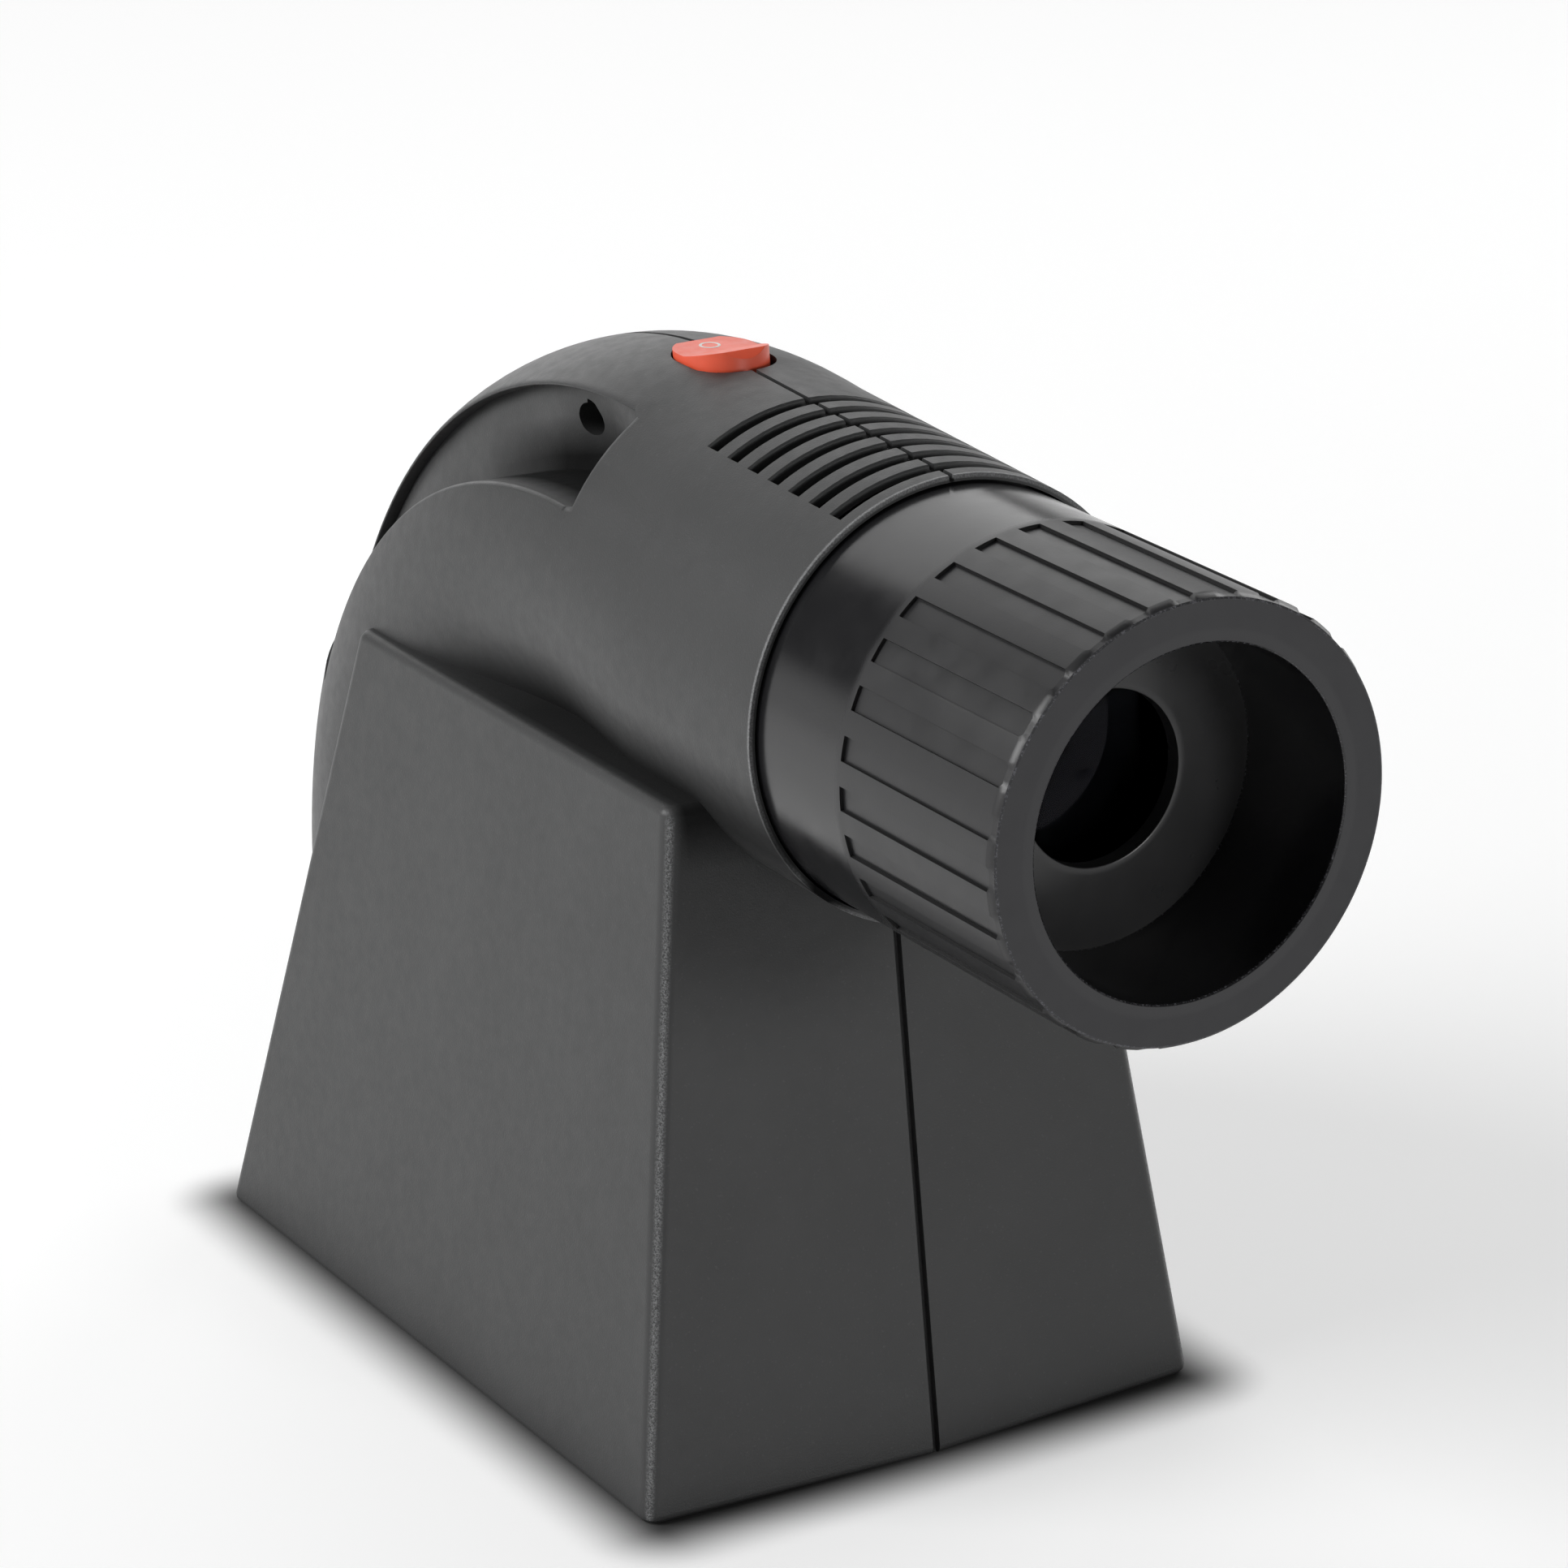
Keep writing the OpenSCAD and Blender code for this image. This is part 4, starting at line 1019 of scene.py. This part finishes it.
def barrel_plastic(colour):
    """Glossy black plastic, satin on the ribs, paler on the front face, painted shadow on the
    groove walls, wear and painted glint at its rims.
    """
    sizes = bpy.context.scene.projector_sizes
    f = Finish("barrel_plastic")
    x, y, z = f.axes()
    out = f.across(x, f.math("SUBTRACT", z, sizes.axis_h))
    ahead = f.math("SUBTRACT", sizes.collar_y, y)
    front, bore, outside = sizes.barrel_out, sizes.bore_r, sizes.barrel_r
    floor_r, ribs_end = outside - sizes.groove_deep, front - sizes.rib_taper
    face = f.times(f.rise(ahead, front - 0.4 * MM, front - 0.15 * MM),
                   f.rise(out, bore + 0.1 * MM, bore + 0.5 * MM))
    # painted shadow: the grooves' side walls are painted near black
    wall_shadow = f.times(f.rise(out, floor_r + 0.02 * MM, floor_r + 0.08 * MM),
                    f.fall(out, outside - 0.16 * MM, outside - 0.10 * MM),
                    f.fall(ahead, ribs_end - 0.6 * MM, ribs_end - 0.2 * MM))
    ribs = f.times(f.rise(ahead, front - sizes.groove_l - 2.5 * MM,
                          front - sizes.groove_l - 0.5 * MM),
                   f.rise(out, bore + 2 * MM, bore + 3 * MM))
    # scuffed lines, wear and painted glint: the outer rim, the bore's lip and the step where the
    # stop sits
    rim = f.times(f.band(out, outside - 1.1 * MM, 0.12 * MM, 0.34 * MM),
                  f.rise(ahead, front - 1.0 * MM, front - 0.4 * MM))
    lip = f.times(f.band(out, bore + 0.1 * MM, 0.06 * MM, 0.22 * MM),
                  f.spread(ahead, front - 0.9 * MM, front - 0.3 * MM, 0.0, 0.8))
    seat = f.times(f.band(ahead, front - sizes.bore_deep + 0.25 * MM, 0.12 * MM, 0.3 * MM, 0.5),
                   f.fall(out, bore + 0.3 * MM, bore + 0.6 * MM))
    scuff = f.rise(f.noise(1900.0, 4.0, 0.75), 0.50, 0.66)
    worn = f.times(f.most(rim, lip, seat), scuff)
    tone = f.layers(f.clouds(30.0, colour, 0.9, 1.12), colour,
                    (face, 2.6), (wall_shadow, 0.1), (f.times(worn, 0.8), 22.0))
    rough = f.uneven(f.noise(160.0, 3.0), 0.16, 0.22)
    for share, more in ((ribs, 0.18), (face, 0.2), (f.most(worn, wall_shadow), 0.4)):
        rough = f.math("ADD", rough, f.times(share, more))
    wave = f.node("ShaderNodeBump", Height=f.noise(55.0), Strength=0.06, Distance=0.0006,
                  Normal=f.bump(f.noise(2400.0, 2.0, 0.6), 0.00008, 0.16))
    return f.finished(Base_Color=tone, Roughness=rough, IOR=1.5, Normal=wave.outputs[0])


def stop_plastic():
    """Black plastic of the aperture stop, satin and a little uneven."""
    f = Finish("stop_plastic")
    cloud = f.uneven(f.noise(40.0, 3.0), 0.0, 1.0)
    return f.finished(Base_Color=f.blend(cloud, (0.030, 0.030, 0.031), (0.042, 0.042, 0.043)),
                      Roughness=f.uneven(f.noise(120.0, 3.0), 0.26, 0.34),
                      Normal=f.bump(f.noise(70.0), 0.0008, 0.12))


def rocker_plastic(colour):
    """Satin orange red plastic with a faint moulded grain."""
    f = Finish("rocker_plastic")
    return f.finished(Base_Color=f.clouds(90.0, colour, 0.93, 1.05),
                      Roughness=f.uneven(f.noise(500.0), 0.34, 0.44),
                      Normal=f.bump(f.noise(2600.0, 2.0, 0.6), 0.00006, 0.25),
                      Subsurface_Weight=0.06, Subsurface_Radius=(0.002, 0.0008, 0.0005))


def print_white(colour):
    """Slightly worn white printing ink."""
    f = Finish("print_white")
    worn = f.spread(f.noise(1500.0, 3.0), 0.35, 0.7, 0.0, 0.4)
    return f.finished(Base_Color=f.blend(worn, colour, shade(colour, 0.75)), Roughness=0.5)


def moulded(name, colour, rough):
    """A moulded plastic or a painted part with a fine grain."""
    f = Finish(name)
    return f.finished(Base_Color=f.clouds(60.0, colour, 0.9, 1.1),
                      Roughness=f.uneven(f.noise(250.0, 3.0), rough - 0.05, rough + 0.05),
                      Normal=f.bump(f.noise(1800.0, 2.0, 0.6), 0.00006, 0.4))


def metal(name, colour, rough, stretch=(1.0, 1.0, 1.0)):
    """Bare or plated metal with fine drawn lines."""
    f = Finish(name)
    line = f.noise(900.0, 3.0, 0.6, stretch)
    tone = f.blend(f.uneven(line, 0.0, 1.0), shade(colour, 0.86), shade(colour, 1.05))
    return f.finished(Base_Color=tone, Roughness=f.uneven(line, rough - 0.08, rough + 0.10),
                      Normal=f.bump(line, 0.00004, 0.3), Metallic=1.0)


def clear(name, colour, rough, index, coat=(1.0, 1.0, 1.0)):
    """Clear glass with a trace of dust, and the tint that a coating gives its reflections."""
    f = Finish(name)
    dust = f.spread(f.noise(220.0, 4.0, 0.7), 0.55, 0.85, rough, rough + 0.12)
    return f.finished(Base_Color=colour, Roughness=dust, IOR=index, Specular_Tint=coat,
                      Transmission_Weight=1.0)


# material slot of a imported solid: the maker of its finish, its colour and its roughness,
# then the glass's index and its coating's tint, or the stretch of the metal's lines
FINISHES = {
    "frame_plastic": (moulded, (0.022, 0.022, 0.024), 0.55),
    "cell_plastic": (moulded, (0.016, 0.016, 0.018), 0.45),
    "sleeve_plastic": (moulded, (0.020, 0.020, 0.021), 0.50),
    "board_white": (moulded, (0.80, 0.80, 0.77), 0.35),
    "board_green": (moulded, (0.020, 0.13, 0.045), 0.33),
    "chip_yellow": (moulded, (0.80, 0.62, 0.12), 0.30),
    "screen_black": (moulded, (0.012, 0.012, 0.013), 0.62),
    "part_black": (moulded, (0.016, 0.016, 0.018), 0.42),
    "lens_glass": (clear, (0.38, 0.41, 0.46), 0.0, 1.49, (0.03, 0.03, 0.05)),
    "window_glass": (clear, (0.93, 0.98, 0.96), 0.01, 1.5),
    "mirror_silver": (metal, (0.90, 0.92, 0.93), 0.09),
    "screw_steel": (metal, (0.62, 0.62, 0.60), 0.32),
    "spring_steel": (metal, (0.55, 0.56, 0.58), 0.30, (1.0, 6.0, 1.0)),
    "pin_brass": (metal, (0.78, 0.60, 0.30), 0.28),
    "bracket_metal": (metal, (0.66, 0.67, 0.68), 0.40, (8.0, 1.0, 1.0)),
    "sink_metal": (metal, (0.50, 0.52, 0.54), 0.42, (1.0, 1.0, 8.0)),
}


class PROJECTOR_OT_carried(Operator):
    """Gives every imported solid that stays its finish"""
    bl_idname = "projector.carried"
    bl_label = "Carried pieces"

    def execute(self, context):
        slots = {part["node"]: part["material_slot"] for part in frame["record"]["subparts"]}
        made = {}
        for name, obj in frame["nodes"].items():
            slot = slots[name]
            if slot not in FINISHES:
                continue
            if slot not in made:
                maker, *values = FINISHES[slot]
                made[slot] = maker(slot, *values)
            obj.data.materials.clear()
            obj.data.materials.append(made[slot])
        return {"FINISHED"}


# ------------------------------------------------------------------ stage

# the base on the floor: half its width, half its length and its middle along Y, and how
# wide the painted contact shadow is round it
FOOTPRINT = (66 * MM, 98 * MM, 29.5 * MM)
CONTACT_SHADOW = 22 * MM
# name, place, what it is aimed at, power in watts and diameter
LAMPS = (("side_lamp", (-1.5, 0.5, 1.15), (0, 0, 0.12), 30.0, 1.2),
         ("back_lamp", (0.5, 2.0, 1.3), (0, 0, 0.2), 17.0, 2.2),
         ("right_lamp", (1.7, 0.8, 1.0), (0, 0, 0.12), 12.0, 1.2),
         ("front_lamp", (0.5, -2.3, 0.65), (0, 0, 0.15), 11.5, 0.6))


class PROJECTOR_OT_stage(Operator):
    """Adds the pale floor, the soft lamps and the camera"""
    bl_idname = "projector.stage"
    bl_label = "Stage"

    def execute(self, context):
        self.floor(context.scene.projector_colours.floor)
        self.world(context.scene)
        self.lamps(context.scene)
        self.camera(context.scene)
        context.scene.view_settings.view_transform = "Standard"
        return {"FINISHED"}

    def floor(self, colour):
        """A pale floor that fades to white far off, with a painted contact shadow round the base.
        """
        start_fresh()
        bpy.ops.mesh.primitive_plane_add(size=12.0, location=(0, 0, 0))
        obj = settled("floor")
        with editing(obj, True):
            bpy.ops.mesh.subdivide(number_cuts=3)
        f = Finish("floor")
        x, y = f.axes()[0:2]
        far = f.rise(f.across(x, y), 0.45, 1.9)
        half_w, half_l, middle = FOOTPRINT
        beside = f.most(f.math("SUBTRACT", f.math("ABSOLUTE", x), half_w), 0.0)
        along = f.math("ABSOLUTE", f.math("SUBTRACT", y, middle))
        along = f.most(f.math("SUBTRACT", along, half_l), 0.0)
        # painted contact shadow: the floor's colour and its glow fade to dark towards the base
        clear_of_base = f.spread(f.across(beside, along), 0.0, CONTACT_SHADOW, 0.0, 1.0, "SMOOTHSTEP")
        near = f.blend(clear_of_base, shade(colour, 0.08), f.clouds(2.5, colour, 0.99, 1.0))
        path = f.tree.nodes.new("ShaderNodeLightPath").outputs
        seen = f.most(path["Is Camera Ray"], path["Is Glossy Ray"], path["Is Transmission Ray"])
        glow = f.times(f.spread(far, 0.0, 1.0, 0.43, 0.875), clear_of_base)
        obj.data.materials.append(f.finished(
            Base_Color=f.blend(far, near, (0.02, 0.02, 0.02)), Roughness=0.75,
            Specular_IOR_Level=0.2, Emission_Color=(1.0, 1.0, 1.0),
            Emission_Strength=f.times(seen, glow)))

    def world(self, scene):
        """White round the horizon for every kind of ray, dim overhead, where the lamps hang."""
        world = bpy.data.worlds.new("studio")
        world.use_nodes = True
        tree = world.node_tree
        soft = tree.nodes["Background"]
        place = tree.nodes.new("ShaderNodeTexCoord")
        axes = tree.nodes.new("ShaderNodeSeparateXYZ")
        fade = tree.nodes.new("ShaderNodeMapRange")
        fade.interpolation_type = "SMOOTHSTEP"
        for key, number in (("From Min", 0.03), ("From Max", 0.21),
                            ("To Min", 0.90), ("To Max", 0.10)):
            fade.inputs[key].default_value = number
        tree.links.new(place.outputs["Generated"], axes.inputs[0])
        tree.links.new(axes.outputs["Z"], fade.inputs["Value"])
        tree.links.new(fade.outputs[0], soft.inputs["Strength"])
        soft.inputs["Color"].default_value = (1.0, 1.0, 1.0, 1.0)
        scene.world = world

    def lamps(self, scene):
        for name, place, aim, power, size in LAMPS:
            data = bpy.data.lights.new(name, "AREA")
            data.shape = "DISK"
            data.size = size
            data.energy = power
            lamp = bpy.data.objects.new(name, data)
            scene.collection.objects.link(lamp)
            lamp.location = place
            towards = Vector(aim) - Vector(place)
            lamp.rotation_euler = towards.to_track_quat("-Z", "Y").to_euler()

    def camera(self, scene):
        data = bpy.data.cameras.new("camera")
        data.sensor_fit = "HORIZONTAL"
        data.sensor_width = 36.0
        data.lens = 127.53
        data.clip_start = 0.02
        data.clip_end = 50.0
        camera = bpy.data.objects.new("camera", data)
        scene.collection.objects.link(camera)
        camera.location = (-0.5818, -0.9739, 0.5476)
        camera.rotation_euler = [math.radians(turn) for turn in (69.8668, 0.4615, -31.3013)]
        scene.camera = camera


# ------------------------------------------------------------------ panel and add-on

class PROJECTOR_PT_sidebar(Panel):
    """Lists the projector's pieces"""
    bl_label = "Projector"
    bl_idname = "PROJECTOR_PT_sidebar"
    bl_space_type = "VIEW_3D"
    bl_region_type = "UI"
    bl_category = "Projector"

    def draw(self, context):
        layout = self.layout
        for step in STEPS:
            layout.operator(step.bl_idname)
        for group in (context.scene.projector_sizes, context.scene.projector_colours):
            column = layout.column()
            for key in group.bl_rna.properties.keys():
                if key not in ("rna_type", "name"):
                    column.prop(group, key)


STEPS = (PROJECTOR_OT_housing, PROJECTOR_OT_barrel, PROJECTOR_OT_stop, PROJECTOR_OT_rocker,
         PROJECTOR_OT_carried, PROJECTOR_OT_stage)
CLASSES = (ProjectorSizes, ProjectorColours) + STEPS + (PROJECTOR_PT_sidebar,)


def register():
    for cls in CLASSES:
        bpy.utils.register_class(cls)
    bpy.types.Scene.projector_sizes = PointerProperty(type=ProjectorSizes)
    bpy.types.Scene.projector_colours = PointerProperty(type=ProjectorColours)


def unregister():
    del bpy.types.Scene.projector_colours
    del bpy.types.Scene.projector_sizes
    for cls in reversed(CLASSES):
        bpy.utils.unregister_class(cls)


def main():
    register()
    bpy.ops.projector.housing()
    bpy.ops.projector.barrel()
    bpy.ops.projector.stop()
    bpy.ops.projector.rocker()
    bpy.ops.projector.carried()
    bpy.ops.projector.stage()


if __name__ == "__main__":
    main()
